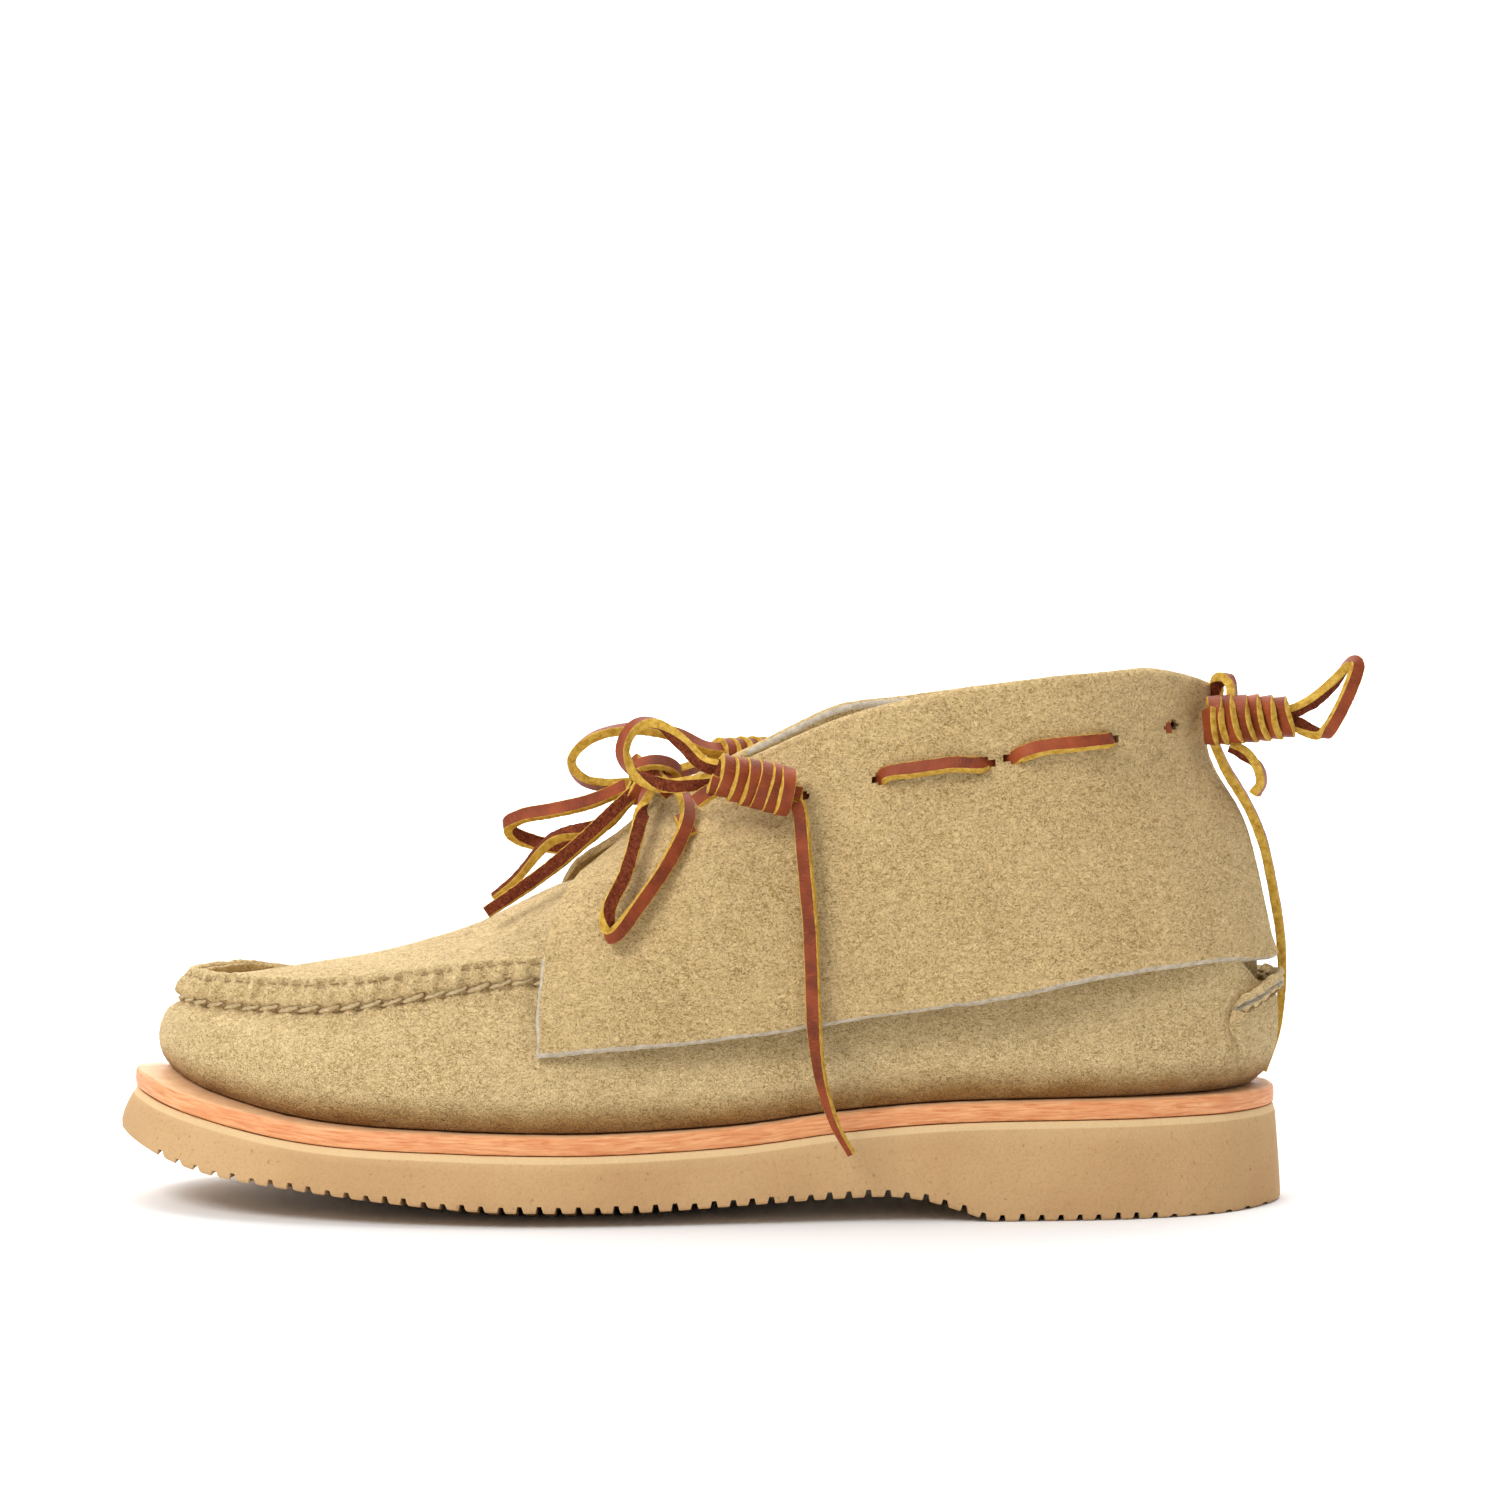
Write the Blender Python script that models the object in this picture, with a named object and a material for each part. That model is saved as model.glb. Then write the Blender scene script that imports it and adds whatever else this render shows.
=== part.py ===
"""Ankle moccasin for a left foot, as an assembly of its separate pieces.

The toe points to -X, the outer (lateral) side faces -Y and +Z is up. The origin is on the ground, in the
middle of the outsole's length and width. Lengths in this file are millimetres, and MM turns them into
Blender's metres where a mesh or a curve is made.
"""
import math

import bmesh
import bpy
from mathutils import Matrix, Vector

MM = 0.001
GAP = 0.3  # between pieces that touch

# Driving dimensions
MEDIAL_DROP = -5.5  # the ankle line is this much lower on the inner side
SUEDE = 2.0  # thickness of every suede panel
MIDSOLE = 4.8
LINER = 2.0
FOOT_LIFT = 0.9  # height of the body's lower edge above the midsole in FOOT_EDGE
FOOT_TUCK = 5  # width of the flat face that the body stands on
FLOOR_EDGE = 3  # from the body's inner wall in to its floor
FLOOR_FILLET = 0.6
RIDGE_ROUND = 0.2
CROWN_INSETS = (10, 22)  # from the outsole's edge, where half and all of the crown is reached
BEVEL_STRIP = 1.9  # pale band along the outsole's top edge
STRIP_FLARE = 0.25  # share of the outsole's flare at the band's lower edge
EDGE_CHAMFER = 0.8  # along the outsole's bottom edge
BURNISHED_EDGE = 0.6  # rounding of the midsole's top edge
LACE = 3.2  # diameter that stands for the square-cut lace
BARREL = 12.4
SEAM_THREAD = 1.3
EDGE_THREAD = 0.9
SEAM_THREAD_OFF = (1.05, 0.4)  # outward and upward from the seam line
EDGE_THREAD_OFF = (1.65, -1.2)  # outward and upward from the ridge's top
THREAD_END = -36  # both threads stop under the collar at this x
SLIT = (7.6, 5.0, 5.2)  # cutter of a thong slit in the collar: along the thong, through, and across
SLIT_SINK = 1.0  # of the cutter's middle below the collar's surface
MEDIAL_SHARE = 0.96  # the collar's inner half is this much of its outer half's width at the ankle
# and this much at its hem (x, share)
MEDIAL_HEM_SHARE = [(-41, 0.975), (-20, 0.93), (5, 0.815), (40, 0.815), (76, 0.87), (102, 0.93), (149, 1)]

# The sole's outline at its top edge (x, y), from the toe round the outer side and back along the inner side
OUTLINE = [
    (-146.8, 5), (-142, -12), (-131, -25), (-110, -37.5), (-78, -46.5), (-40, -50), (0, -46.5), (40, -41.5),
    (80, -39), (112, -35), (136, -23), (148.6, 0), (137, 22.5), (113, 33), (80, 35), (42, 35), (6, 38),
    (-30, 45), (-65, 49.5), (-98, 45.5), (-124, 34.5), (-140, 20),
]  # fmt: skip
SOLE_POINTS = 88
UPPER_POINTS = 68

# Heights along the sole (x, z)
MIDSOLE_TOP = [
    (-150, 34.6), (-131, 30), (-101, 25), (-62, 23.4), (-35, 23), (10, 24.8), (37, 28), (64, 30), (92, 30.4),
    (118, 30.5), (151, 29.9),
]  # fmt: skip
OUTSOLE_BOTTOM = [
    (-151, 17.4), (-131, 10.2), (-101, 5.4), (-70, 1.6), (-46, 0), (-22, 0), (10, 2), (34, 4.8), (48, 5.8),
    (58, 4.8), (66, 2.6), (76, 0), (90, 0), (151, 0),
]  # fmt: skip
SOLE_FLARE = [(-150, 4.0), (-110, 3.2), (-40, 2.4), (50, 1.6), (110, 1.4), (150, 2.0)]
# The outsole's edge is higher than its middle by this much (x, rise)
CROWN = [(-151, 0.8), (-101, 2.7), (-62, 3.7), (-35, 3.8), (10, 3), (38, 1.2), (60, 0.4), (76, 0), (151, 0)]

# Rings of the moccasin body: each is (x, inset from the sole's outline, height above the midsole)
FOOT_EDGE = [(-147, 8.6, 0.9), (-110, 6.2, 0.9), (-60, 3.6, 0.9), (0, 3, 0.9), (60, 3, 0.9), (148, 5, 0.9)]
LOW_SIDE = [(-147, 6.6, 4), (-110, 4.2, 4), (-60, 1.8, 4), (0, 1.4, 4), (60, 1.6, 4), (110, 1.4, 4), (148, 1.2, 5)]
BULGE = [(-147, 5.9, 9), (-110, 3, 11), (-60, 0.8, 12), (0, 1, 12), (60, 1.2, 11), (110, 1, 11), (148, -0.9, 12)]
HIGH_SIDE = [(-147, 8, 15), (-110, 7, 20), (-60, 5, 24), (0, 3.8, 23), (60, 3, 18), (110, 2, 18), (148, -1.2, 19)]
SEAM_LINE = [
    (-147, 11.6, 18.2), (-125, 13.5, 23.4), (-95, 13, 29), (-70, 11.2, 34), (-41, 9.5, 38.6), (0, 7, 37),
    (60, 5, 28.5), (110, 3.2, 27), (148, -0.4, 25.4),
]  # fmt: skip
RIDGE_TOP = [
    (-147, 14.2, 25.6), (-125, 16, 31), (-95, 15, 36.4), (-70, 12.6, 40.8), (-41, 10.2, 44.4), (0, 7.6, 39.6),
    (60, 5.8, 31), (110, 4, 29), (148, 0.4, 27),
]  # fmt: skip

# The apron and its tongue: centre (x, z), then edge (x, outer y, inner y, z). None takes the ridge's inner wall.
APRON = [
    ((-128.6, 56.6), (-128.6, None, None, 56.4)), ((-126.5, 57), (-126.5, None, None, 56.5)),
    ((-121, 57.8), (-121, None, None, 56.8)), ((-112, 59), (-112, None, None, 57.2)),
    ((-99, 60.9), (-99, None, None, 58)), ((-85, 63.2), (-85, None, None, 59.5)),
    ((-71, 66.7), (-71, None, None, 61.5)), ((-58, 71), (-58, None, None, 63.8)),
    ((-48, 76), (-47, -36.2, 33.2, 63.4)), ((-38, 81), (-36, -35.4, 32.4, 64.4)),
    ((-28, 84.6), (-24, -32.6, 30.6, 66)), ((-18, 91), (-12, -28, 26.4, 70)), ((-7, 98.2), (2, -22.6, 21.4, 79)),
    ((4, 104.8), (14, -16.6, 15.6, 92)), ((12.5, 111.6), (22, -12.4, 11.4, 102.5)),
]  # fmt: skip
APRON_ACROSS = 12
APRON_INSET = 3.3  # of the apron's edge from the ridge's inner wall
ARCH_POWER = 1.9

# The collar is one piece: the hem, the outside, the fold along the ankle line, and the shaft inside it.
# Each row runs from the front edge round the outer side to the middle of the heel.
COLLAR_OUTSIDE = [
    [(-41.4, -50, 43.2), (-21.7, -51, 45), (2.5, -49.4, 47), (27.5, -47, 50.4), (50.7, -45, 53.4),
     (76, -43.5, 57.5), (102, -39.5, 62.6), (127, -27, 64.7), (149.5, 0, 63.2)],
    [(-40, -44.6, 66), (-21, -46, 66), (2.5, -46, 66.5), (27.5, -44.4, 68), (50.7, -43, 70), (76, -42, 72.5),
     (102, -38, 76), (126, -26, 76.5), (147.3, 0, 75)],
    [(-35, -26, 83), (-18, -34, 87), (4, -37.5, 90), (28, -38.5, 92), (51, -39.5, 94), (76, -39.5, 96),
     (101, -35.5, 98), (122.5, -23.5, 99), (141.3, 0, 98)],
    [(-22, -8, 94), (-8, -19, 100.4), (10, -28, 104.4), (31, -33.5, 108), (52, -36.2, 111.4), (76, -37, 114.6),
     (100, -33.5, 116.6), (119, -18.8, 117.6), (132, 0, 116.4)],
    [(-13, -5.5, 103.2), (2, -13.5, 109.8), (18, -21, 116.8), (35, -28.5, 124.4), (53, -33, 129.8),
     (75, -34.5, 133.8), (98, -32, 136.8), (118, -18.6, 136.8), (133.4, 0, 132.6)],
]  # fmt: skip
COLLAR_INSIDE = [
    [(2, -12, 101.5), (9, -15.5, 104.5), (21, -19.6, 108.5), (36, -23.6, 113.5), (53, -27, 117), (75, -28.2, 120),
     (95.6, -24.4, 122), (111, -12.2, 122.5), (122.6, 0, 121)],
    [(8, -27, 87), (13, -28, 89), (22, -29.6, 91), (35.5, -30.4, 93), (53, -31.4, 95), (75, -31.4, 97),
     (98, -28, 98.5), (117, -17.8, 99), (132.8, 0, 98)],
    [(4, -32.6, 70), (10, -32.2, 71), (21, -31.8, 72), (35.5, -31.2, 73), (53, -30.6, 74), (75, -30.4, 75),
     (98, -28.2, 76), (120, -19.2, 76), (140.8, 0, 75)],
    [(4, -31, 57), (10, -30.4, 57), (21, -29.6, 57), (35.5, -28.8, 57), (53, -27.8, 57), (75, -27.6, 56.5),
     (98, -26.8, 55.5), (121, -19.5, 54), (142.6, 0, 52.6)],
]  # fmt: skip
COLLAR_AROUND = 47
COLLAR_UP = 8  # rows up the outside
SHAFT_DOWN = 6
FOLD_RADIUS = 2.4
FOLD_STEPS = 4
SEARCH_ROWS = 40  # of the finer grid that finds a place on the collar

# The thong is woven through the collar's slits, each at (x, z); the first stretch runs inside
SLITS = [(25.4, 107.6), (45.7, 112.7), (72.5, 116.7), (80, 118.6), (104.7, 122), (121.5, 124)]
TURN_IN = 2.8  # from a slit to where the thong lies flat

# Lace routes, in order from the knot or barrel that they leave
RING_LOOP = [
    (1, -29, 114.4), (-4.5, -29.4, 120.6), (-11, -28, 126), (-17, -26, 124.8), (-19.8, -25, 118.4),
    (-15.8, -26, 112.2), (-8, -28, 109.8), (1, -29.6, 110.2),
]  # fmt: skip
MEDIAL_RING_LOOP = [
    (1, 28, 114.4), (-7, 26, 118.2), (-17.5, 23.5, 120), (-28, 22, 118), (-34, 21.6, 112),
    (-30.4, 22, 106.4), (-21, 23.4, 105), (-10, 25.6, 107), (1, 28.6, 110.4),
]  # fmt: skip
SIDE_TAIL = [
    (25.6, -42.2, 103.4), (26.6, -44.4, 92), (28, -46.6, 76), (28.6, -49.4, 60), (29, -51.2, 50),
    (30.6, -52, 38), (34, -52, 27), (38.4, -52.4, 19),
]  # fmt: skip
HEEL_LOOP = [
    (153.2, -12, 128.2), (158, -11, 130.8), (162.6, -10.4, 135), (166, -10.6, 139), (168, -12.4, 138),
    (166.4, -14.4, 131.6), (162.6, -15, 125.4), (158.6, -14.4, 122.8), (153.2, -12.6, 124.4),
]  # fmt: skip
HEEL_TAIL = [
    (132.8, -9, 117.8), (135.6, -5.4, 112), (141.6, -1, 102), (145.8, 2, 92), (148.8, 5, 79),
    (150.6, 7, 69), (151.4, 8.4, 59), (151.2, 9.4, 50), (150, 10, 41), (147.8, 10, 33.4),
]  # fmt: skip
BOW_LOOP_LATERAL = [
    (-8.6, -10.5, 110), (-4.6, -19, 107), (-3.4, -28.8, 101.4), (-8, -37.8, 91.6), (-15.2, -44, 81.6),
    (-20, -47.6, 75.6), (-23.6, -46.8, 76), (-22.6, -44.4, 81.4), (-18.8, -39.4, 89), (-16, -30.5, 98.2),
    (-14.4, -19, 105), (-13, -12.2, 108),
]  # fmt: skip
BOW_LOOP_MEDIAL = [
    (-18.8, 0, 107.4), (-28, 6, 102.8), (-38, 11, 99.9), (-46.4, 14.6, 98), (-50.6, 16.6, 95.4),
    (-48.6, 18, 92.4), (-42, 18, 90.2), (-35, 16, 89.6), (-28.6, 11.6, 93.4), (-22.8, 6.6, 99.4),
    (-18.4, 2.6, 104),
]  # fmt: skip
BOW_TAIL_LONG = [(-19, -8.6, 104.6), (-28, -12.4, 96.4), (-38, -15, 88), (-48, -17, 81), (-55, -18, 76.4)]
BOW_TAIL_SHORT = [
    (-19.4, -2.6, 103.6), (-25.6, 1, 97), (-36.4, 4, 94), (-41.4, 5, 90.4), (-48, 6, 82.6),
    (-54, 7, 77.4),
]  # fmt: skip
SIDE_BARREL = ((4, -31.4, 112.2), (24, -41, 108.2))
HEEL_BARREL = ((129.2, -12.4, 125.4), (152.2, -12.4, 126.4))
BOW_KNOT = ((-13, -4.6, 110.4), (5.6, 6.8, 4.4))  # centre, half sizes
HEEL_SEAM = [(137, -23, 55), (145.4, -13.2, 56.6), (149.4, 0, 57), (145.4, 13.6, 56.6), (138.4, 22.4, 55)]


def clear_scene():
    for thing in list(bpy.data.objects):
        bpy.data.objects.remove(thing, do_unlink=True)


def material(name, colour, roughness):
    made = bpy.data.materials.new(name)
    made.use_nodes = True
    shader = made.node_tree.nodes["Principled BSDF"]
    shader.inputs["Base Color"].default_value = (*colour, 1)
    shader.inputs["Roughness"].default_value = roughness
    shader.inputs["Metallic"].default_value = 0
    return made


def spline_at(points, t):
    """The point at t (0 to len - 1) of the smooth curve through the points."""
    last = len(points) - 1
    i = min(int(t), last - 1)
    f = t - i
    b, c = points[i], points[i + 1]
    a = points[i - 1] if i > 0 else b * 2 - c
    d = points[i + 2] if i + 2 <= last else c * 2 - b
    bend = (a * 2 - b * 5 + c * 4 - d) * (f * f / 2)
    return b + (c - a) * (f / 2) + bend + (b * 3 - a - c * 3 + d) * (f**3 / 2)


def evenly(dense, count, closed=False):
    """count points at even spacing along a dense polyline."""
    line = dense + [dense[0]] if closed else dense
    lengths = [0.0]
    for a, b in zip(line, line[1:]):
        lengths.append(lengths[-1] + (b - a).length)
    made, j = [], 0
    for k in range(count):
        target = lengths[-1] * k / (count if closed else count - 1)
        while j < len(line) - 2 and lengths[j + 1] < target:
            j += 1
        share = (target - lengths[j]) / max(lengths[j + 1] - lengths[j], 1e-9)
        made.append(line[j].lerp(line[j + 1], min(max(share, 0), 1)))
    return made


def curve_through(points, count, closed=False):
    points = [Vector(p) for p in points]
    if closed:
        n = len(points)
        ring = [points[-1], *points, points[0], points[1]]
        dense = [spline_at(ring, 1 + n * k / (n * 24)) for k in range(n * 24)]
    else:
        last = len(points) - 1
        dense = [spline_at(points, last * k / (last * 24)) for k in range(last * 24 + 1)]
    return evenly(dense, count, closed)


def value_at(stations, x, column=1):
    """A smooth curve through the stations, read at x."""
    if x <= stations[0][0]:
        return stations[0][column]
    if x >= stations[-1][0]:
        return stations[-1][column]
    i = next(k for k in range(len(stations) - 1) if x <= stations[k + 1][0])
    b, c = stations[i], stations[i + 1]
    a, d = stations[max(i - 1, 0)], stations[min(i + 2, len(stations) - 1)]
    width = c[0] - b[0]
    rise = (c[column] - b[column]) / width
    before = (b[column] - a[column]) / (b[0] - a[0]) if i > 0 else rise
    after = (d[column] - c[column]) / (d[0] - c[0]) if i + 2 < len(stations) else rise
    start = 0.0 if before * rise <= 0 else (before + rise) / 2
    end = 0.0 if after * rise <= 0 else (after + rise) / 2
    f = (x - b[0]) / width
    return (
        b[column] * (1 + 2 * f) * (1 - f) ** 2
        + c[column] * f * f * (3 - 2 * f)
        + start * width * f * (1 - f) ** 2
        - end * width * f * f * (1 - f)
    )


def outline(count):
    """The sole's outline as count points, from the toe by the outer side, and each one's outward normal."""
    line = curve_through([(x, y, 0) for x, y in OUTLINE], count, closed=True)
    normals = []
    for i in range(count):
        along = (line[(i + 1) % count] - line[i - 1]).normalized()
        normals.append(Vector((along.y, -along.x, 0)))
    if sum(n.dot(p) for n, p in zip(normals, line)) < 0:
        normals = [-n for n in normals]
    return line, normals


def sole_ring(flare_share, height, inset=0.0):
    """A ring of the sole: height(x) gives z."""
    line, normals = outline(SOLE_POINTS)
    ring = []
    for p, n in zip(line, normals):
        q = p + n * (value_at(SOLE_FLARE, p.x) * flare_share - inset)
        ring.append(Vector((q.x, q.y, height(q.x))))
    return ring


def upper_ring(stations, more_inset=0.0, more_height=0.0):
    line, normals = outline(UPPER_POINTS)
    ring = []
    for p, n in zip(line, normals):
        q = p - n * (value_at(stations, p.x) + more_inset)
        ring.append(Vector((q.x, q.y, value_at(MIDSOLE_TOP, p.x) + value_at(stations, p.x, 2) + more_height)))
    return ring


def new_object(name, mesh, finish):
    made = bpy.data.objects.new(name, mesh)
    bpy.context.scene.collection.objects.link(made)
    mesh.materials.append(finish)
    return made


def mesh_object(name, verts, faces, finish):
    mesh = bpy.data.meshes.new(name)
    mesh.from_pydata([tuple(v * MM) for v in verts], [], faces)
    work = bmesh.new()
    work.from_mesh(mesh)
    bmesh.ops.recalc_face_normals(work, faces=work.faces)
    if work.calc_volume(signed=True) < 0:
        bmesh.ops.reverse_faces(work, faces=work.faces)
    work.to_mesh(mesh)
    work.free()
    mesh.shade_smooth()
    mesh.set_sharp_from_angle(angle=math.radians(40))
    return new_object(name, mesh, finish)


def ladder(first, count, flip):
    """Faces that close a ring of count points, from its toe point to its heel point, rung by rung."""
    faces = []
    for i in range(count // 2):
        a, b, c, d = i, i + 1, count - i - 1, (count - i) % count
        corner = [first + k for k in dict.fromkeys((a, b, c, d))]
        faces.append(tuple(reversed(corner)) if flip else tuple(corner))
    return faces


def ring_solid(name, rings, finish):
    """A solid whose skin runs through the rings, closed by a ladder across the first and across the last."""
    count = len(rings[0])
    faces = ladder(0, count, False) + ladder(count * (len(rings) - 1), count, True)
    for r in range(len(rings) - 1):
        for i in range(count):
            j = (i + 1) % count
            faces.append((r * count + i, r * count + j, (r + 1) * count + j, (r + 1) * count + i))
    return mesh_object(name, [v for ring in rings for v in ring], faces, finish)


def grid_normals(grid):
    """Unit normals of a grid of points, by its neighbours' differences."""
    rows, cols = len(grid), len(grid[0])
    made = []
    for r in range(rows):
        line = []
        for c in range(cols):
            up = grid[min(r + 1, rows - 1)][c] - grid[max(r - 1, 0)][c]
            along = grid[r][min(c + 1, cols - 1)] - grid[r][max(c - 1, 0)]
            line.append(along.cross(up).normalized())
        made.append(line)
    return made


def sheet_solid(name, grid, thickness, finish):
    """A panel of even thickness behind a grid of points. The grid's normals point away from the body."""
    rows, cols = len(grid), len(grid[0])
    normals = grid_normals(grid)
    back = [[p - n * thickness for p, n in zip(*pair)] for pair in zip(grid, normals)]
    verts = [p for row in grid for p in row] + [p for row in back for p in row]
    behind = rows * cols

    def at(r, c):
        return r * cols + c

    faces = []
    for r in range(rows - 1):
        for c in range(cols - 1):
            quad = (at(r, c), at(r, c + 1), at(r + 1, c + 1), at(r + 1, c))
            faces.append(quad)
            faces.append(tuple(behind + k for k in reversed(quad)))
    rim = [at(0, c) for c in range(cols)] + [at(r, cols - 1) for r in range(1, rows)]
    rim += [at(rows - 1, c) for c in range(cols - 2, -1, -1)] + [at(r, 0) for r in range(rows - 2, 0, -1)]
    for a, b in zip(rim, rim[1:] + rim[:1]):
        faces.append((b, a, behind + a, behind + b))
    return mesh_object(name, verts, faces, finish)


def both_sides(row):
    """A collar row from the outer front edge round the heel to the inner front edge."""
    outer = [Vector(p) for p in row]
    inner = [Vector((p.x, -p.y * medial_share(p), p.z + MEDIAL_DROP * drop_share(p))) for p in outer[:-1]]
    return outer + inner[::-1]


def medial_share(p):
    low = value_at(MEDIAL_HEM_SHARE, p.x)
    return low + (MEDIAL_SHARE - low) * value_at([(60, 0), (110, 1)], p.z)


def drop_share(p):
    """How much of the drop of the inner half's ankle line a point takes."""
    return value_at([(30, 0), (62, 1), (98, 1), (128, 0)], p.x) * value_at([(95, 0), (134, 1)], p.z)


def surface(rows, up):
    """COLLAR_AROUND by up points of the smooth surface through the rows."""
    wide = []
    for row in rows:
        points = both_sides(row)
        last = len(points) - 1
        wide.append([spline_at(points, last * k / (COLLAR_AROUND - 1)) for k in range(COLLAR_AROUND)])
    last = len(rows) - 1
    columns = [[w[c] for w in wide] for c in range(COLLAR_AROUND)]
    return [[spline_at(column, last * k / (up - 1)) for column in columns] for k in range(up)]


def collar_grid():
    """The collar's outer surface from the hem up, over the fold and down the inside to the body."""
    outside = surface(COLLAR_OUTSIDE, COLLAR_UP)
    top = outside[-1]
    inside = surface([[tuple(p) for p in inner_start(top)], *COLLAR_INSIDE], SHAFT_DOWN + 1)[1:]
    fold = []
    for step in range(1, FOLD_STEPS + 1):
        angle = math.pi * step / FOLD_STEPS
        row = []
        for c, p in enumerate(top):
            inward = inward_at(top, c)
            rise = Vector((0, 0, FOLD_RADIUS * math.sin(angle)))
            row.append(p + inward * FOLD_RADIUS * (1 - math.cos(angle)) + rise)
        fold.append(row)
    return outside + fold + inside


def inward_at(row, c):
    """The level direction from a point of the ankle line towards the foot."""
    along = row[min(c + 1, len(row) - 1)] - row[max(c - 1, 0)]
    return Vector((-along.y, along.x, 0)).normalized()


def inner_start(top):
    """Where the shaft leaves the fold, at the control columns of the outer half."""
    half = (COLLAR_AROUND - 1) / 2
    columns = len(COLLAR_OUTSIDE[0])
    made = []
    for k in range(columns):
        t = half * k / (columns - 1)
        i = min(int(t), COLLAR_AROUND - 2)
        p = top[i].lerp(top[i + 1], t - i)
        made.append(p + inward_at(top, i) * FOLD_RADIUS * 2)
    return made


def build_collar(finish):
    collar = sheet_solid("collar", collar_grid(), SUEDE, finish)
    for side in (1, -1):
        for k, (x, z) in enumerate(SLITS):
            place, normal = on_collar(x, z, side)
            cut_slit(collar, f"slit_{k}_{'outer' if side > 0 else 'inner'}", place, normal)
    return collar


def on_collar(x, z, side):
    """The point of the collar's outside at that x and z, and its normal. The side is 1 for the outer half."""
    if side < 0:
        z += MEDIAL_DROP * drop_share(Vector((x, 0, z)))
    grid = surface(COLLAR_OUTSIDE, SEARCH_ROWS)
    middle = COLLAR_AROUND // 2
    half = range(1, middle + 1) if side > 0 else range(middle, COLLAR_AROUND - 1)
    cells = [(r, c) for r in range(1, SEARCH_ROWS - 1) for c in half]
    r, c = min(cells, key=lambda cell: near(grid[cell[0]][cell[1]], x, z))
    up, along = grid[r + 1][c] - grid[r - 1][c], grid[r][c + 1] - grid[r][c - 1]
    normal = along.cross(up).normalized()
    share = (x - grid[r][c].x) / along.x if abs(along.x) > 1e-6 else 0
    return Vector((x, grid[r][c].y + along.y * share, z)), normal


def near(point, x, z):
    return (point.x - x) ** 2 + (point.z - z) ** 2


def cut_slit(target, name, place, normal):
    bpy.ops.mesh.primitive_cube_add(size=1)
    cutter = bpy.context.object
    cutter.name = name
    turn = Vector((0, math.copysign(1, normal.y), 0)).rotation_difference(normal).to_matrix().to_4x4()
    size = Matrix.Diagonal((*(Vector(SLIT) * MM), 1))
    cutter.data.transform(Matrix.Translation((place - normal * SLIT_SINK) * MM) @ turn @ size)
    cutter.hide_render = True
    cutter.display_type = "WIRE"
    cut = target.modifiers.new(name, "BOOLEAN")
    cut.operation = "DIFFERENCE"
    cut.solver = "EXACT"
    cut.object = cutter


def build_outsole(finish):
    def top(x):
        return value_at(MIDSOLE_TOP, x) - MIDSOLE - GAP

    def bottom(crown_share):
        return lambda x: value_at(OUTSOLE_BOTTOM, x) + crown_share * value_at(CROWN, x)

    rings = [
        sole_ring(0.0, top),
        sole_ring(STRIP_FLARE, lambda x: top(x) - BEVEL_STRIP),
        sole_ring(1.0, lambda x: bottom(1.0)(x) + EDGE_CHAMFER),
        sole_ring(1.0, bottom(1.0), inset=EDGE_CHAMFER),
        sole_ring(1.0, bottom(0.5), inset=CROWN_INSETS[0]),
        sole_ring(1.0, bottom(0.0), inset=CROWN_INSETS[1]),
    ]
    return ring_solid("outsole", rings, finish)


def build_midsole(finish):
    def top(x):
        return value_at(MIDSOLE_TOP, x)

    rings = [
        sole_ring(0.0, lambda x: top(x) - MIDSOLE),
        sole_ring(0.0, lambda x: top(x) - BURNISHED_EDGE),
        sole_ring(0.0, top, inset=BURNISHED_EDGE),
    ]
    return ring_solid("midsole", rings, finish)


def build_vamp(finish):
    rings = [
        upper_ring(FOOT_EDGE, FOOT_TUCK, GAP - FOOT_LIFT),
        upper_ring(FOOT_EDGE),
        upper_ring(LOW_SIDE),
        upper_ring(BULGE),
        upper_ring(HIGH_SIDE),
        upper_ring(SEAM_LINE),
        upper_ring(RIDGE_TOP),
        upper_ring(RIDGE_TOP, SUEDE, -RIDGE_ROUND),
        upper_ring(SEAM_LINE, SUEDE + RIDGE_ROUND),
        upper_ring(HIGH_SIDE, SUEDE),
        upper_ring(BULGE, SUEDE),
        upper_ring(LOW_SIDE, SUEDE, FLOOR_FILLET),
        upper_ring(FOOT_EDGE, SUEDE + FLOOR_EDGE, GAP - FOOT_LIFT + SUEDE),
    ]
    return ring_solid("vamp", rings, finish)


def build_sock_liner(finish):
    low = SUEDE + 2 * GAP - FOOT_LIFT
    rings = [
        upper_ring(FOOT_EDGE, SUEDE + FLOOR_EDGE + 1.0, low),
        upper_ring(FOOT_EDGE, SUEDE + FLOOR_EDGE + 0.2, low + 0.6 * LINER),
        upper_ring(FOOT_EDGE, SUEDE + FLOOR_EDGE + 0.6, low + LINER),
    ]
    return ring_solid("sock_liner", rings, finish)


def wall_y(ring, x, side):
    """y where the ring crosses x, on the outer side (-1) or the inner side (1)."""
    half = len(ring) // 2
    line = ring[: half + 1] if side < 0 else ring[half:] + ring[:1]
    for a, b in zip(line, line[1:]):
        if min(a.x, b.x) <= x <= max(a.x, b.x) and a.x != b.x:
            return a.y + (b.y - a.y) * (x - a.x) / (b.x - a.x)
    return line[0].y


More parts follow.
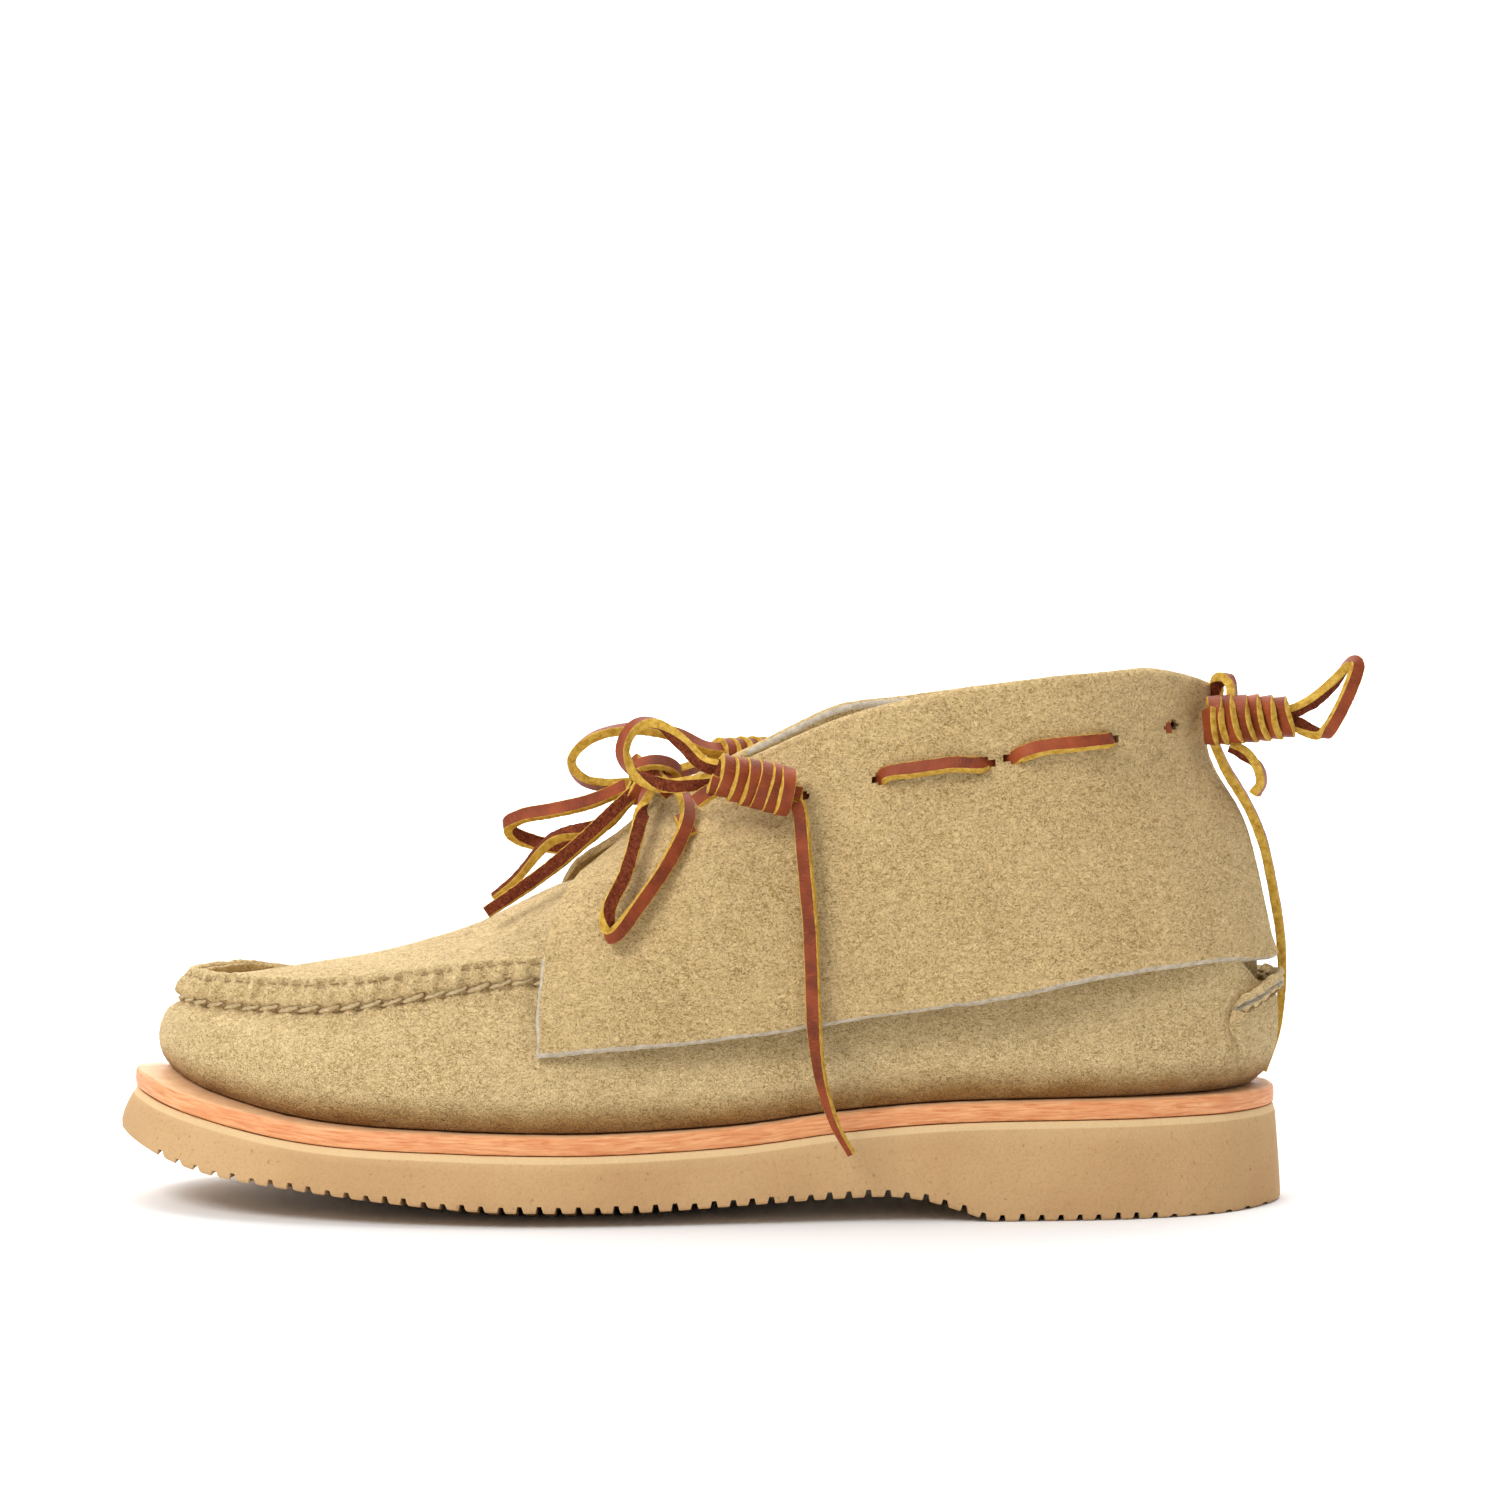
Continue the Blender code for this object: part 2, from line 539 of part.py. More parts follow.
def build_apron(finish):
    wall = upper_ring(SEAM_LINE, SUEDE + APRON_INSET)
    rows = []
    for (cx, cz), (ex, outer, inner, ez) in APRON:
        outer = wall_y(wall, ex, -1) if outer is None else outer
        inner = wall_y(wall, ex, 1) if inner is None else inner
        middle = (outer + inner) / 2
        row = []
        for k in range(APRON_ACROSS + 1):
            v = 2 * k / APRON_ACROSS - 1
            arch = 1 - abs(v) ** ARCH_POWER
            y = middle + (inner - outer) / 2 * v
            row.append(Vector((ex + (cx - ex) * arch, y, ez + (cz - ez) * arch)))
        rows.append(row)
    return sheet_solid("apron", rows, SUEDE, finish)


def tube(name, points, diameter, finish, spacing=None, sides=2):
    """A round cord along the smooth curve through the points."""
    dense = curve_through(points, 200)
    length = sum((b - a).length for a, b in zip(dense, dense[1:]))
    count = max(4, round(length / (spacing or 2.2 * diameter)) + 1)
    data = bpy.data.curves.new(name, "CURVE")
    data.dimensions = "3D"
    line = data.splines.new("POLY")
    line.points.add(count - 1)
    for place, p in zip(line.points, evenly(dense, count)):
        place.co = (*(p * MM), 1)
    data.bevel_depth = diameter / 2 * MM
    data.bevel_resolution = sides
    data.use_fill_caps = True
    made = bpy.data.objects.new(name, data)
    bpy.context.scene.collection.objects.link(made)
    data.materials.append(finish)
    return made


def turned(name, ends, profile, finish, around=14):
    """A turned solid along the line between two ends: profile is (share of the length, radius)."""
    a, b = Vector(ends[0]), Vector(ends[1])
    axis = (b - a).normalized()
    side = axis.cross(Vector((0, 0, 1))).normalized()
    other = axis.cross(side)
    verts, faces = [], []
    for share, radius in profile:
        for k in range(around):
            angle = 2 * math.pi * k / around
            verts.append(a.lerp(b, share) + (side * math.cos(angle) + other * math.sin(angle)) * radius)
    rings = len(profile)
    for r in range(rings - 1):
        for k in range(around):
            j = (k + 1) % around
            faces.append((r * around + k, r * around + j, (r + 1) * around + j, (r + 1) * around + k))
    faces.append(tuple(range(around)))
    faces.append(tuple((rings - 1) * around + k for k in reversed(range(around))))
    return mesh_object(name, verts, faces, finish)


def barrel(name, ends, finish):
    wide = BARREL / 2
    tip, shoulder = wide - 1.4, wide - 0.3
    profile = [(0, tip), (0.06, shoulder), (0.2, wide), (0.8, wide), (0.94, shoulder), (1, tip)]
    return turned(name, ends, profile, finish)


def build_bow_knot(finish):
    bpy.ops.mesh.primitive_uv_sphere_add(segments=14, ring_count=8, radius=1)
    knot = bpy.context.object
    knot.name = knot.data.name = "bow_knot"
    centre, half = BOW_KNOT
    knot.data.transform(Matrix.Translation(Vector(centre) * MM) @ Matrix.Diagonal((*(Vector(half) * MM), 1)))
    knot.data.materials.append(finish)
    knot.data.shade_smooth()
    return knot


def thong_points(side):
    """The thong's route on one side: outside, in through a slit, behind the collar, and out again."""
    outside, behind = LACE / 2 + GAP, -(SUEDE + GAP + LACE / 2)
    place, normal = on_collar(*SLITS[0], side)
    points = [place + normal * (LACE / 2 - 0.4), place - normal * SUEDE / 2]
    for k, (start, end) in enumerate(zip(SLITS, SLITS[1:])):
        lift = outside if k % 2 else behind
        step = TURN_IN / math.dist(start, end)
        for share in (step, 0.5, 1 - step):
            x, z = (a + (b - a) * share for a, b in zip(start, end))
            place, normal = on_collar(x, z, side)
            points.append(place + normal * lift)
        place, normal = on_collar(*end, side)
        points.append(place - normal * SUEDE / 2)
    return points[:-1] + [place - normal * 0.4]


def mirrored(points):
    return [(x, -y, z) for x, y, z in points]


def seam_route(stations, lift, height, last_x=THREAD_END):
    """A thread's route round the moc toe, just outside a ring of the body, from one side to the other."""
    ring = upper_ring(stations, -lift, height)
    half = len(ring) // 2
    outer = [p for p in ring[: half + 1] if p.x <= last_x]
    inner = [p for p in ring[half:] if p.x <= last_x]
    return inner + outer


def main():
    clear_scene()
    suede = material("suede", (0.61, 0.47, 0.25), 0.95)
    lining = material("lining", (0.45, 0.36, 0.22), 0.95)
    eva = material("outsole_rubber", (0.61, 0.40, 0.20), 0.8)
    veg_tan = material("midsole_leather", (0.73, 0.29, 0.12), 0.55)
    lace = material("lace_leather", (0.30, 0.05, 0.02), 0.6)
    thread = material("seam_thread", (0.51, 0.43, 0.27), 0.9)

    build_outsole(eva)
    build_midsole(veg_tan)
    build_vamp(suede)
    build_sock_liner(lining)
    build_apron(suede)
    build_collar(suede)
    tube("seam_thread", seam_route(SEAM_LINE, *SEAM_THREAD_OFF), SEAM_THREAD, thread, 5)
    tube("edge_thread", seam_route(RIDGE_TOP, *EDGE_THREAD_OFF), EDGE_THREAD, thread, 5.5)
    tube("heel_seam_thread", HEEL_SEAM, SEAM_THREAD, thread, 4)

    for side, name in ((1, "lateral"), (-1, "medial")):
        tube(f"thong_{name}", thong_points(side), LACE, lace, 3.0)
    barrel("barrel_lateral", SIDE_BARREL, lace)
    barrel("barrel_medial", mirrored(SIDE_BARREL), lace)
    barrel("barrel_heel", HEEL_BARREL, lace)
    tube("ring_loop_lateral", RING_LOOP, LACE, lace, 4)
    tube("ring_loop_medial", MEDIAL_RING_LOOP, LACE, lace, 4)
    tube("heel_loop", HEEL_LOOP, LACE, lace, 3.4)
    tube("tail_lateral", SIDE_TAIL, LACE, lace)
    tube("tail_medial", mirrored(SIDE_TAIL), LACE, lace)
    tube("tail_heel", HEEL_TAIL, LACE, lace)
    build_bow_knot(lace)
    tube("bow_loop_lateral", BOW_LOOP_LATERAL, LACE, lace, 4)
    tube("bow_loop_medial", BOW_LOOP_MEDIAL, LACE, lace, 4)
    tube("bow_tail_long", BOW_TAIL_LONG, LACE, lace)
    tube("bow_tail_short", BOW_TAIL_SHORT, LACE, lace)


main()
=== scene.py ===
"""The looks of an ankle moccasin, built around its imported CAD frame.

The toe points to -X, the outer side faces -Y and +Z is up. Lengths are millimetres unless a name says
otherwise, and MM turns them into metres where a mesh is made. The shapes follow the CAD's own outlines.
"""

import math

import bpy
import numpy as np
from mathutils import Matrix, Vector


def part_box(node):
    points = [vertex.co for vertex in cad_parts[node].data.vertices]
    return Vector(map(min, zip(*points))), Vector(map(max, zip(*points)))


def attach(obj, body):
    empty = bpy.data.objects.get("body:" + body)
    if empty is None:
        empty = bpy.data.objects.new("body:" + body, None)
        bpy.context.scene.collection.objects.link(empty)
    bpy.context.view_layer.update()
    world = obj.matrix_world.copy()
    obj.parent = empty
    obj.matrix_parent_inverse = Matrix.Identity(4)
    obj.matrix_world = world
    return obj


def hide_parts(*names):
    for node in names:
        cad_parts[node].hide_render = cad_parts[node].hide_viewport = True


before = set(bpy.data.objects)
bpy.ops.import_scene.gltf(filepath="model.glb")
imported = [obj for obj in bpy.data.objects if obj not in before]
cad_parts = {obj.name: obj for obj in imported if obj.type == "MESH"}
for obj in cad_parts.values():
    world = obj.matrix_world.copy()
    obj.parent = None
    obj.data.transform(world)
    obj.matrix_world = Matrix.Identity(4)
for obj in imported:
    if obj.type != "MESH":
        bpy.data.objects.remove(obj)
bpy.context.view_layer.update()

MM = 0.001
GAP = 0.3
SUEDE = 2.0
MIDSOLE = 4.8
LACE_WIDE, LACE_THICK = 3.6, 2.4
STITCH = 5.8  # pitch of the moc-toe stitches
MEDIAL_DROP = -5.5  # how much higher the ankle line is on the inner side than on the outer one
RIDGE_DIP = 4.6  # how much lower the raised seam's top is on the inner side, and its foot by that share
SEAM_DIP_SHARE = 0.7
FOOT_LIFT = 0.9  # the suede's lower edge, before it is tucked under
BODY_COLUMNS = 928  # points round the vamp
FINE_COLUMNS = 3000  # points round an outline that is only read, not meshed
# The inner side's distance from the middle as a share of the outer side's: at the ankle, and along the hem
MEDIAL_SHARE = 0.96
MEDIAL_HEM_SHARE = [(-41, 0.975), (-20, 0.93), (5, 0.815), (40, 0.815), (76, 0.87), (102, 0.93), (149, 1)]

# The sole's outline at its top edge (x, y), from the toe round the outer side and back along the inner side
OUTLINE = [
    (-146.8, 5), (-142, -12), (-131, -25), (-110, -37.5), (-78, -46.5), (-40, -50), (0, -46.5), (40, -41.5),
    (80, -39), (112, -35), (136, -23), (148.6, 0), (137, 22.5), (113, 33), (80, 35), (42, 35), (6, 38),
    (-30, 45), (-65, 49.5), (-98, 45.5), (-124, 34.5), (-140, 20),
]
# Heights along the sole (x, z)
MIDSOLE_TOP = [
    (-150, 34.6), (-131, 30), (-101, 25), (-62, 23.4), (-35, 23), (10, 24.8), (37, 28), (64, 30), (92, 30.4),
    (118, 30.5), (151, 29.9),
]
OUTSOLE_BOTTOM = [
    (-151, 17.4), (-131, 10.2), (-101, 5.4), (-70, 1.6), (-46, 0), (-22, 0), (10, 2), (34, 4.8), (48, 5.8),
    (58, 4.8), (66, 2.6), (76, 0), (90, 0), (151, 0),
]
SOLE_FLARE = [(-150, 4.0), (-110, 3.2), (-40, 2.4), (50, 1.6), (110, 1.4), (150, 2.0)]
CROWN = [(-151, 0.8), (-101, 2.7), (-62, 3.7), (-35, 3.8), (10, 3), (38, 1.2), (60, 0.4), (76, 0), (151, 0)]

# Rings of the body (x, inset from the sole's outline, height above the midsole)
FOOT_EDGE = [(-147, 8.6, 0.9), (-110, 6.2, 0.9), (-60, 3.6, 0.9), (0, 3, 0.9), (60, 3, 0.9), (148, 5, 0.9)]
LOW_SIDE = [
    (-147, 6.6, 4), (-110, 4.2, 4), (-60, 1.8, 4), (0, 1.4, 4),
    (60, 1.6, 4), (110, 1.4, 4), (148, 1.2, 5),
]
BULGE = [
    (-147, 5.9, 9), (-110, 3, 11), (-60, 0.8, 12), (0, 1, 12),
    (60, 1.2, 11), (110, 1, 11), (148, -0.9, 12),
]
HIGH_SIDE = [
    (-147, 8, 15), (-110, 7, 20), (-60, 5, 24), (0, 3.8, 23),
    (60, 3, 18), (110, 2, 18), (148, -1.2, 19),
]
SEAM_LINE = [
    (-147, 11.6, 18.2), (-125, 13.5, 23.4), (-95, 13, 29), (-70, 11.2, 34), (-41, 9.5, 38.6), (0, 7, 37),
    (60, 5, 28.5), (110, 3.2, 27), (148, -0.4, 25.4),
]
RIDGE_TOP = [
    (-147, 14.2, 25.6), (-125, 16, 31), (-95, 15, 36.4), (-70, 12.6, 40.8), (-41, 10.2, 44.4), (0, 7.6, 39.6),
    (60, 5.8, 31), (110, 4, 29), (148, 0.4, 27),
]

# The apron and its tongue: height of its middle and of its edges, and the edges' y behind the seam
APRON_MIDDLE = [
    (-134, 55.6), (-126.5, 57), (-112, 59), (-99, 60.9), (-85, 63.2), (-71, 66.7), (-58, 71), (-48, 76),
    (-38, 81),
    (-28, 84.6), (-18, 91), (-7, 98.2), (4, 104.8), (12.5, 111.6),
]
APRON_EDGE = [
    (-134, 55), (-126.5, 56.5), (-112, 57.2), (-99, 58), (-85, 59.5), (-71, 61.5), (-58, 63.8), (-47, 63.4),
    (-36, 64.4), (-24, 66), (-12, 70), (2, 79), (14, 92), (22, 102.5),
]
TONGUE_SIDES = [
    (-47, -36.2, 33.2), (-36, -35.4, 32.4), (-24, -32.6, 30.6), (-12, -28, 26.4), (2, -22.6, 21.4),
    (14, -16.6, 15.6), (22, -12.4, 11.4),
]

# The collar's rows, from the front edge round the outer side to the middle of the heel
COLLAR_OUTSIDE = [
    [(-41.4, -50, 43.2), (-21.7, -51, 45), (2.5, -49.4, 47), (27.5, -47, 50.4), (50.7, -45, 53.4),
     (76, -43.5, 57.5), (102, -39.5, 62.6), (127, -27, 64.7), (149.5, 0, 63.2)],
    [(-40, -44.6, 66), (-21, -46, 66), (2.5, -46, 66.5), (27.5, -44.4, 68), (50.7, -43, 70), (76, -42, 72.5),
     (102, -38, 76), (126, -26, 76.5), (147.3, 0, 75)],
    [(-35, -26, 83), (-18, -34, 87), (4, -37.5, 90), (28, -38.5, 92), (51, -39.5, 94), (76, -39.5, 96),
     (101, -35.5, 98), (122.5, -23.5, 99), (141.3, 0, 98)],
    [(-22, -8, 94), (-8, -19, 100.4), (10, -28, 104.4), (31, -33.5, 108), (52, -36.2, 111.4),
     (76, -37, 114.6),
     (100, -33.5, 116.6), (119, -18.8, 117.6), (132, 0, 116.4)],
    [(-13, -5.5, 103.2), (2, -13.5, 109.8), (18, -21, 116.8), (35, -28.5, 124.4), (53, -33, 129.8),
     (75, -34.5, 133.8), (98, -32, 136.8), (118, -18.6, 136.8), (133.4, 0, 132.6)],
]
COLLAR_INSIDE = [
    [(2, -12, 101.5), (9, -15.5, 104.5), (21, -19.6, 108.5), (36, -23.6, 113.5), (53, -27, 117),
     (75, -28.2, 120),
     (95.6, -24.4, 122), (111, -12.2, 122.5), (122.6, 0, 121)],
    [(8, -27, 87), (13, -28, 89), (22, -29.6, 91), (35.5, -30.4, 93), (53, -31.4, 95), (75, -31.4, 97),
     (98, -28, 98.5), (117, -17.8, 99), (132.8, 0, 98)],
    [(4, -32.6, 70), (10, -32.2, 71), (21, -31.8, 72), (35.5, -31.2, 73), (53, -30.6, 74), (75, -30.4, 75),
     (98, -28.2, 76), (120, -19.2, 76), (140.8, 0, 75)],
    [(4, -31, 57), (10, -30.4, 57), (21, -29.6, 57), (35.5, -28.8, 57), (53, -27.8, 57), (75, -27.6, 56.5),
     (98, -26.8, 55.5), (121, -19.5, 54), (142.6, 0, 52.6)],
]
FOLD_RADIUS = 2.4
SLITS = [(25.4, 107.6), (45.7, 112.7), (72.5, 116.7), (80, 118.6), (104.7, 122), (121.5, 124)]
HEEL_SEAM = [(137, -23, 51.6), (145.4, -13.2, 55.6), (149.4, 0, 57), (145.4, 13.6, 55.6), (138.4, 22.4, 51.6)]


# ---------------------------------------------------------------- shapes


def smooth(t):
    t = np.clip(t, 0, 1)
    return t * t * (3 - 2 * t)


def unit(v):
    v = np.asarray(v, float)
    return v / np.maximum(np.linalg.norm(v, axis=-1, keepdims=True), 1e-9)


LATTICE = np.random.default_rng(11).random((48, 48, 48))


def noise(points, size):
    """Smooth noise from -1 to 1 at the points, with lumps about size across."""
    q = np.asarray(points, float) / size
    cell = np.floor(q).astype(int)
    f = smooth(q - cell)
    total = 0
    for corner in np.ndindex(2, 2, 2):
        weight = np.prod(np.where(np.array(corner, bool), f, 1 - f), axis=-1)
        i, j, k = np.moveaxis((cell + corner) % 48, -1, 0)
        total = total + weight * LATTICE[i, j, k]
    return total * 2 - 1


def spline(points, t):
    """Points at t (0 to len - 1) of the smooth curve through the points."""
    points = np.asarray(points, float)
    t = np.asarray(t, float)
    last = len(points) - 1
    padded = np.concatenate([[2 * points[0] - points[1]], points, [2 * points[-1] - points[-2]]])
    i = np.clip(t.astype(int), 0, last - 1)
    f = (t - i).reshape(t.shape + (1,) * (points.ndim - 1))
    a, b, c, d = padded[i], padded[i + 1], padded[i + 2], padded[i + 3]
    return b + (c - a) * f / 2 + (2 * a - 5 * b + 4 * c - d) * f**2 / 2 + (3 * b - a - 3 * c + d) * f**3 / 2


def lengths_along(line):
    return np.concatenate([[0], np.cumsum(np.linalg.norm(np.diff(line, axis=0), axis=1))])


def at_lengths(line, wanted, values=None):
    s = lengths_along(line)
    values = line if values is None else values
    return np.stack([np.interp(wanted, s, values[:, k]) for k in range(values.shape[1])], axis=1)


def value_at(stations, x, column=1):
    """A smooth curve through the stations, read at x."""
    table = np.array([[row[0], row[column]] for row in stations], float)
    knots, values = table[:, 0], table[:, 1]
    rise = np.diff(values) / np.diff(knots)
    before, after = np.append(rise[0], rise), np.append(rise, rise[-1])
    slope = np.where(before * after > 0, (before + after) / 2, 0)
    x = np.clip(np.asarray(x, float), knots[0], knots[-1])
    i = np.clip(np.searchsorted(knots, x) - 1, 0, len(knots) - 2)
    width = knots[i + 1] - knots[i]
    f = (x - knots[i]) / width
    return (
        values[i] * (1 + 2 * f) * (1 - f) ** 2
        + values[i + 1] * f * f * (3 - 2 * f)
        + slope[i] * width * f * (1 - f) ** 2
        - slope[i + 1] * width * f * f * (1 - f)
    )


def outline(count):
    """The sole's outline as count points at z 0, from the toe by the outer side, and their normals."""
    n = len(OUTLINE)
    flat = np.array([(x, y, 0) for x, y in OUTLINE], float)
    ring = np.concatenate([flat[-1:], flat, flat[:2]])
    dense = spline(ring, 1 + np.arange(n * 60 + 1) / 60)
    total = lengths_along(dense)[-1]
    line = at_lengths(dense, np.arange(count) * total / count)
    along = unit(np.roll(line, -1, axis=0) - np.roll(line, 1, axis=0))
    normals = np.stack([along[:, 1], -along[:, 0], np.zeros(count)], axis=1)
    if (normals * line).sum() < 0:
        normals = -normals
    return line, normals


def medial_dip(x, y):
    """How much lower the raised seam is on the inner side, from 0 to 1."""
    return smooth((x + 136) / 36) * (1 - smooth((x + 62) / 22)) * smooth(y / 12)


def body_ring(stations, columns, inset=0.0, lift=0.0, dip=0.0):
    """The sole's outline moved in and up as the stations say, with that share of the inner side's dip."""
    line, normals = outline(columns)
    x = line[:, 0]
    ring = line - normals * (value_at(stations, x) + inset)[:, None]
    ring[:, 2] = value_at(MIDSOLE_TOP, x) + value_at(stations, x, 2) + lift
    ring[:, 2] -= RIDGE_DIP * dip * medial_dip(x, line[:, 1])
    return ring


def seam_ring(columns=BODY_COLUMNS, inset=0.0, lift=0.0):
    return body_ring(SEAM_LINE, columns, inset, lift, SEAM_DIP_SHARE)


def ridge_ring(columns=BODY_COLUMNS, inset=0.0, lift=0.0):
    return body_ring(RIDGE_TOP, columns, inset, lift, 1.0)


def two_sides(ring):
    """A closed ring's outer and inner halves, both from the toe to the heel."""
    toe, heel = ring[:, 0].argmin(), ring[:, 0].argmax()
    ring = np.roll(ring, -toe, axis=0)
    heel = (heel - toe) % len(ring)
    return ring[: heel + 1], np.concatenate([ring[heel:], ring[:1]])[::-1]


def y_at(half, x):
    return np.interp(x, np.maximum.accumulate(half[:, 0]), half[:, 1])


def level(x):
    """Values along a line as points, for noise that changes only along it."""
    return np.stack([x, x * 0, x * 0], axis=1)


def grid_normals(grid, wrap=False):
    along = np.roll(grid, -1, axis=1) - np.roll(grid, 1, axis=1) if wrap else np.gradient(grid, axis=1)
    return unit(np.cross(along, np.gradient(grid, axis=0)))


# ---------------------------------------------------------------- meshes


def piece(
    name, verts, faces, materials, nodes=(), body="shoe", face_material=None, marks=None, sharp=50
):
    """A mesh object from millimetre points, riding on a body and standing for CAD nodes."""
    verts = np.asarray(verts, float).reshape(-1, 3)
    used = np.zeros(len(verts), bool)
    for face in faces:
        used[list(face)] = True
    index = np.cumsum(used) - 1
    faces = [[int(index[k]) for k in face] for face in faces]
    mesh = bpy.data.meshes.new(name)
    mesh.from_pydata((verts[used] * MM).tolist(), [], faces)
    for made in materials:
        mesh.materials.append(made)
    if face_material is not None:
        mesh.polygons.foreach_set("material_index", np.asarray(face_material, np.int32))
    for mark, values in (marks or {}).items():
        kind = "FLOAT" if np.ndim(values) == 1 else "FLOAT_VECTOR"
        attribute = mesh.attributes.new(mark, kind, "POINT")
        attribute.data.foreach_set("value" if kind == "FLOAT" else "vector", np.asarray(values)[used].ravel())
    mesh.shade_smooth()
    mesh.set_sharp_from_angle(angle=math.radians(sharp))
    made = bpy.data.objects.new(name, mesh)
    bpy.context.scene.collection.objects.link(made)
    if body:
        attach(made, body)
    if nodes:
        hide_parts(*nodes)
    return made


def loft_faces(rings, count, first=0):
    """Quads between rings of count points each."""
    index = first + np.arange(rings * count).reshape(rings, count)
    nxt = np.roll(index, -1, axis=1)
    return np.stack([index[:-1], nxt[:-1], nxt[1:], index[1:]], axis=-1).reshape(-1, 4).tolist()


def tube_faces(rings, count):
    """The quads of a tube and a face at each of its ends."""
    last = [(rings - 1) * count + k for k in range(count)]
    return loft_faces(rings, count) + [list(range(count))[::-1], last]


def ladder(first, count, flip=False):
    """Quads that close a ring from its toe point to its heel point."""
    faces = []
    for i in range(count // 2):
        corner = [first + k for k in dict.fromkeys((i, i + 1, count - i - 1, (count - i) % count))]
        faces.append(corner[::-1] if flip else corner)
    return faces


def body_faces(rings):
    """The faces of a closed body of rings, its first and its last ring filled from toe to heel."""
    count = rings.shape[1]
    return loft_faces(len(rings), count) + ladder(0, count, True) + ladder(count * (len(rings) - 1), count)


def shell_faces(keep):
    """(faces, is_rim) of a panel with a front and a back grid of points. Keep says which cells it has."""
    rows, cells = keep.shape
    columns = cells + 1
    index = np.arange((rows + 1) * columns).reshape(rows + 1, columns)
    a, b, c, d = index[:-1, :-1], index[:-1, 1:], index[1:, 1:], index[1:, :-1]
    behind = (rows + 1) * columns
    faces = [np.stack([a, b, c, d], -1)[keep], np.stack([d, c, b, a], -1)[keep] + behind]
    none_row, none_column = np.zeros((1, cells), bool), np.zeros((rows, 1), bool)
    under, over = np.vstack([none_row, keep[:-1]]), np.vstack([keep[1:], none_row])
    before, after = np.hstack([none_column, keep[:, :-1]]), np.hstack([keep[:, 1:], none_column])
    for p, q, neighbour in ((a, b, under), (b, c, after), (c, d, over), (d, a, before)):
        faces.append(np.stack([q, p, p + behind, q + behind], -1)[keep & ~neighbour])
    rim = np.concatenate([np.full(len(f), i > 1) for i, f in enumerate(faces)])
    return np.concatenate(faces).tolist(), rim


# ---------------------------------------------------------------- materials


class Look:
    """A node material under construction."""

    def __init__(self, name, roughness=0.8, **sockets):
        self.material = bpy.data.materials.new(name)
        self.material.use_nodes = True
        self.tree = self.material.node_tree
        self.shader = self.tree.nodes["Principled BSDF"]
        self.shader.inputs["Roughness"].default_value = roughness
        for socket, value in sockets.items():
            self.shader.inputs[socket.replace("_", " ")].default_value = value
        self.place = self.node("ShaderNodeTexCoord").outputs["Object"]

    def node(self, kind, **values):
        made = self.tree.nodes.new(kind)
        for key, value in values.items():
            setattr(made, key, value)
        return made

    def link(self, source, target):
        self.tree.links.new(source, target)

    def mark(self, name, vector=False):
        found = self.node("ShaderNodeAttribute", attribute_name=name)
        return found.outputs["Vector" if vector else "Fac"]

    def noise(self, size, detail=2.0, stretch=(1, 1, 1), place=None, distortion=0.0, rough=0.5):
        """Noise from 0 to 1 with lumps about size millimetres across."""
        scaled = self.node("ShaderNodeMapping")
        scaled.inputs["Scale"].default_value = [s / (size * MM) for s in stretch]
        self.link(place or self.place, scaled.inputs["Vector"])
        made = self.node("ShaderNodeTexNoise")
        made.inputs["Scale"].default_value = 1.0
        made.inputs["Detail"].default_value = detail
        made.inputs["Roughness"].default_value = rough
        made.inputs["Distortion"].default_value = distortion
        self.link(scaled.outputs["Vector"], made.inputs["Vector"])
        return made.outputs["Fac"]

    def ramp(self, value, *stops):
        """A colour or grey ramp: stops are (position, colour or grey)."""
        made = self.node("ShaderNodeValToRGB")
        ramp = made.color_ramp
        while len(ramp.elements) < len(stops):
            ramp.elements.new(0.5)
        for element, (position, colour) in zip(ramp.elements, stops):
            element.position = position
            element.color = (*((colour,) * 3 if np.isscalar(colour) else colour), 1)
        self.link(value, made.inputs["Fac"])
        return made.outputs["Color"]

    def mix(self, share, a, b, kind="MIX"):
        made = self.node("ShaderNodeMix", data_type="RGBA", blend_type=kind)
        for source, socket in ((share, 0), (a, 6), (b, 7)):
            if isinstance(source, bpy.types.NodeSocket):
                self.link(source, made.inputs[socket])
            elif socket == 0:
                made.inputs[0].default_value = source
            else:
                made.inputs[socket].default_value = (*source, 1)
        return made.outputs[2]

    def maths(self, kind, a, b):
        made = self.node("ShaderNodeMath", operation=kind)
        for source, socket in ((a, 0), (b, 1)):
            if isinstance(source, bpy.types.NodeSocket):
                self.link(source, made.inputs[socket])
            else:
                made.inputs[socket].default_value = source
        return made.outputs[0]

    def bump(self, *layers):
        """Bumps in turn, each (height from 0 to 1, depth in millimetres)."""
        normal = None
        for height, depth in layers:
            made = self.node("ShaderNodeBump")
            made.inputs["Distance"].default_value = depth * MM
            self.link(height, made.inputs["Height"])
            if normal is not None:
                self.link(normal, made.inputs["Normal"])
            normal = made.outputs["Normal"]
        self.link(normal, self.shader.inputs["Normal"])

    def colour(self, socket):
        self.link(socket, self.shader.inputs["Base Color"])

    def roughness(self, socket):
        self.link(socket, self.shader.inputs["Roughness"])


def srgb(red, green, blue):
    """A linear colour from 0-255 sRGB values."""
    scaled = [c / 255 for c in (red, green, blue)]
    return tuple(c / 12.92 if c <= 0.04045 else ((c + 0.055) / 1.055) ** 2.4 for c in scaled)


DARKENED_TINT = (0.42, 0.27, 0.12)  # the suede's colour is multiplied by this low down, and as painted shade in the stitch holes
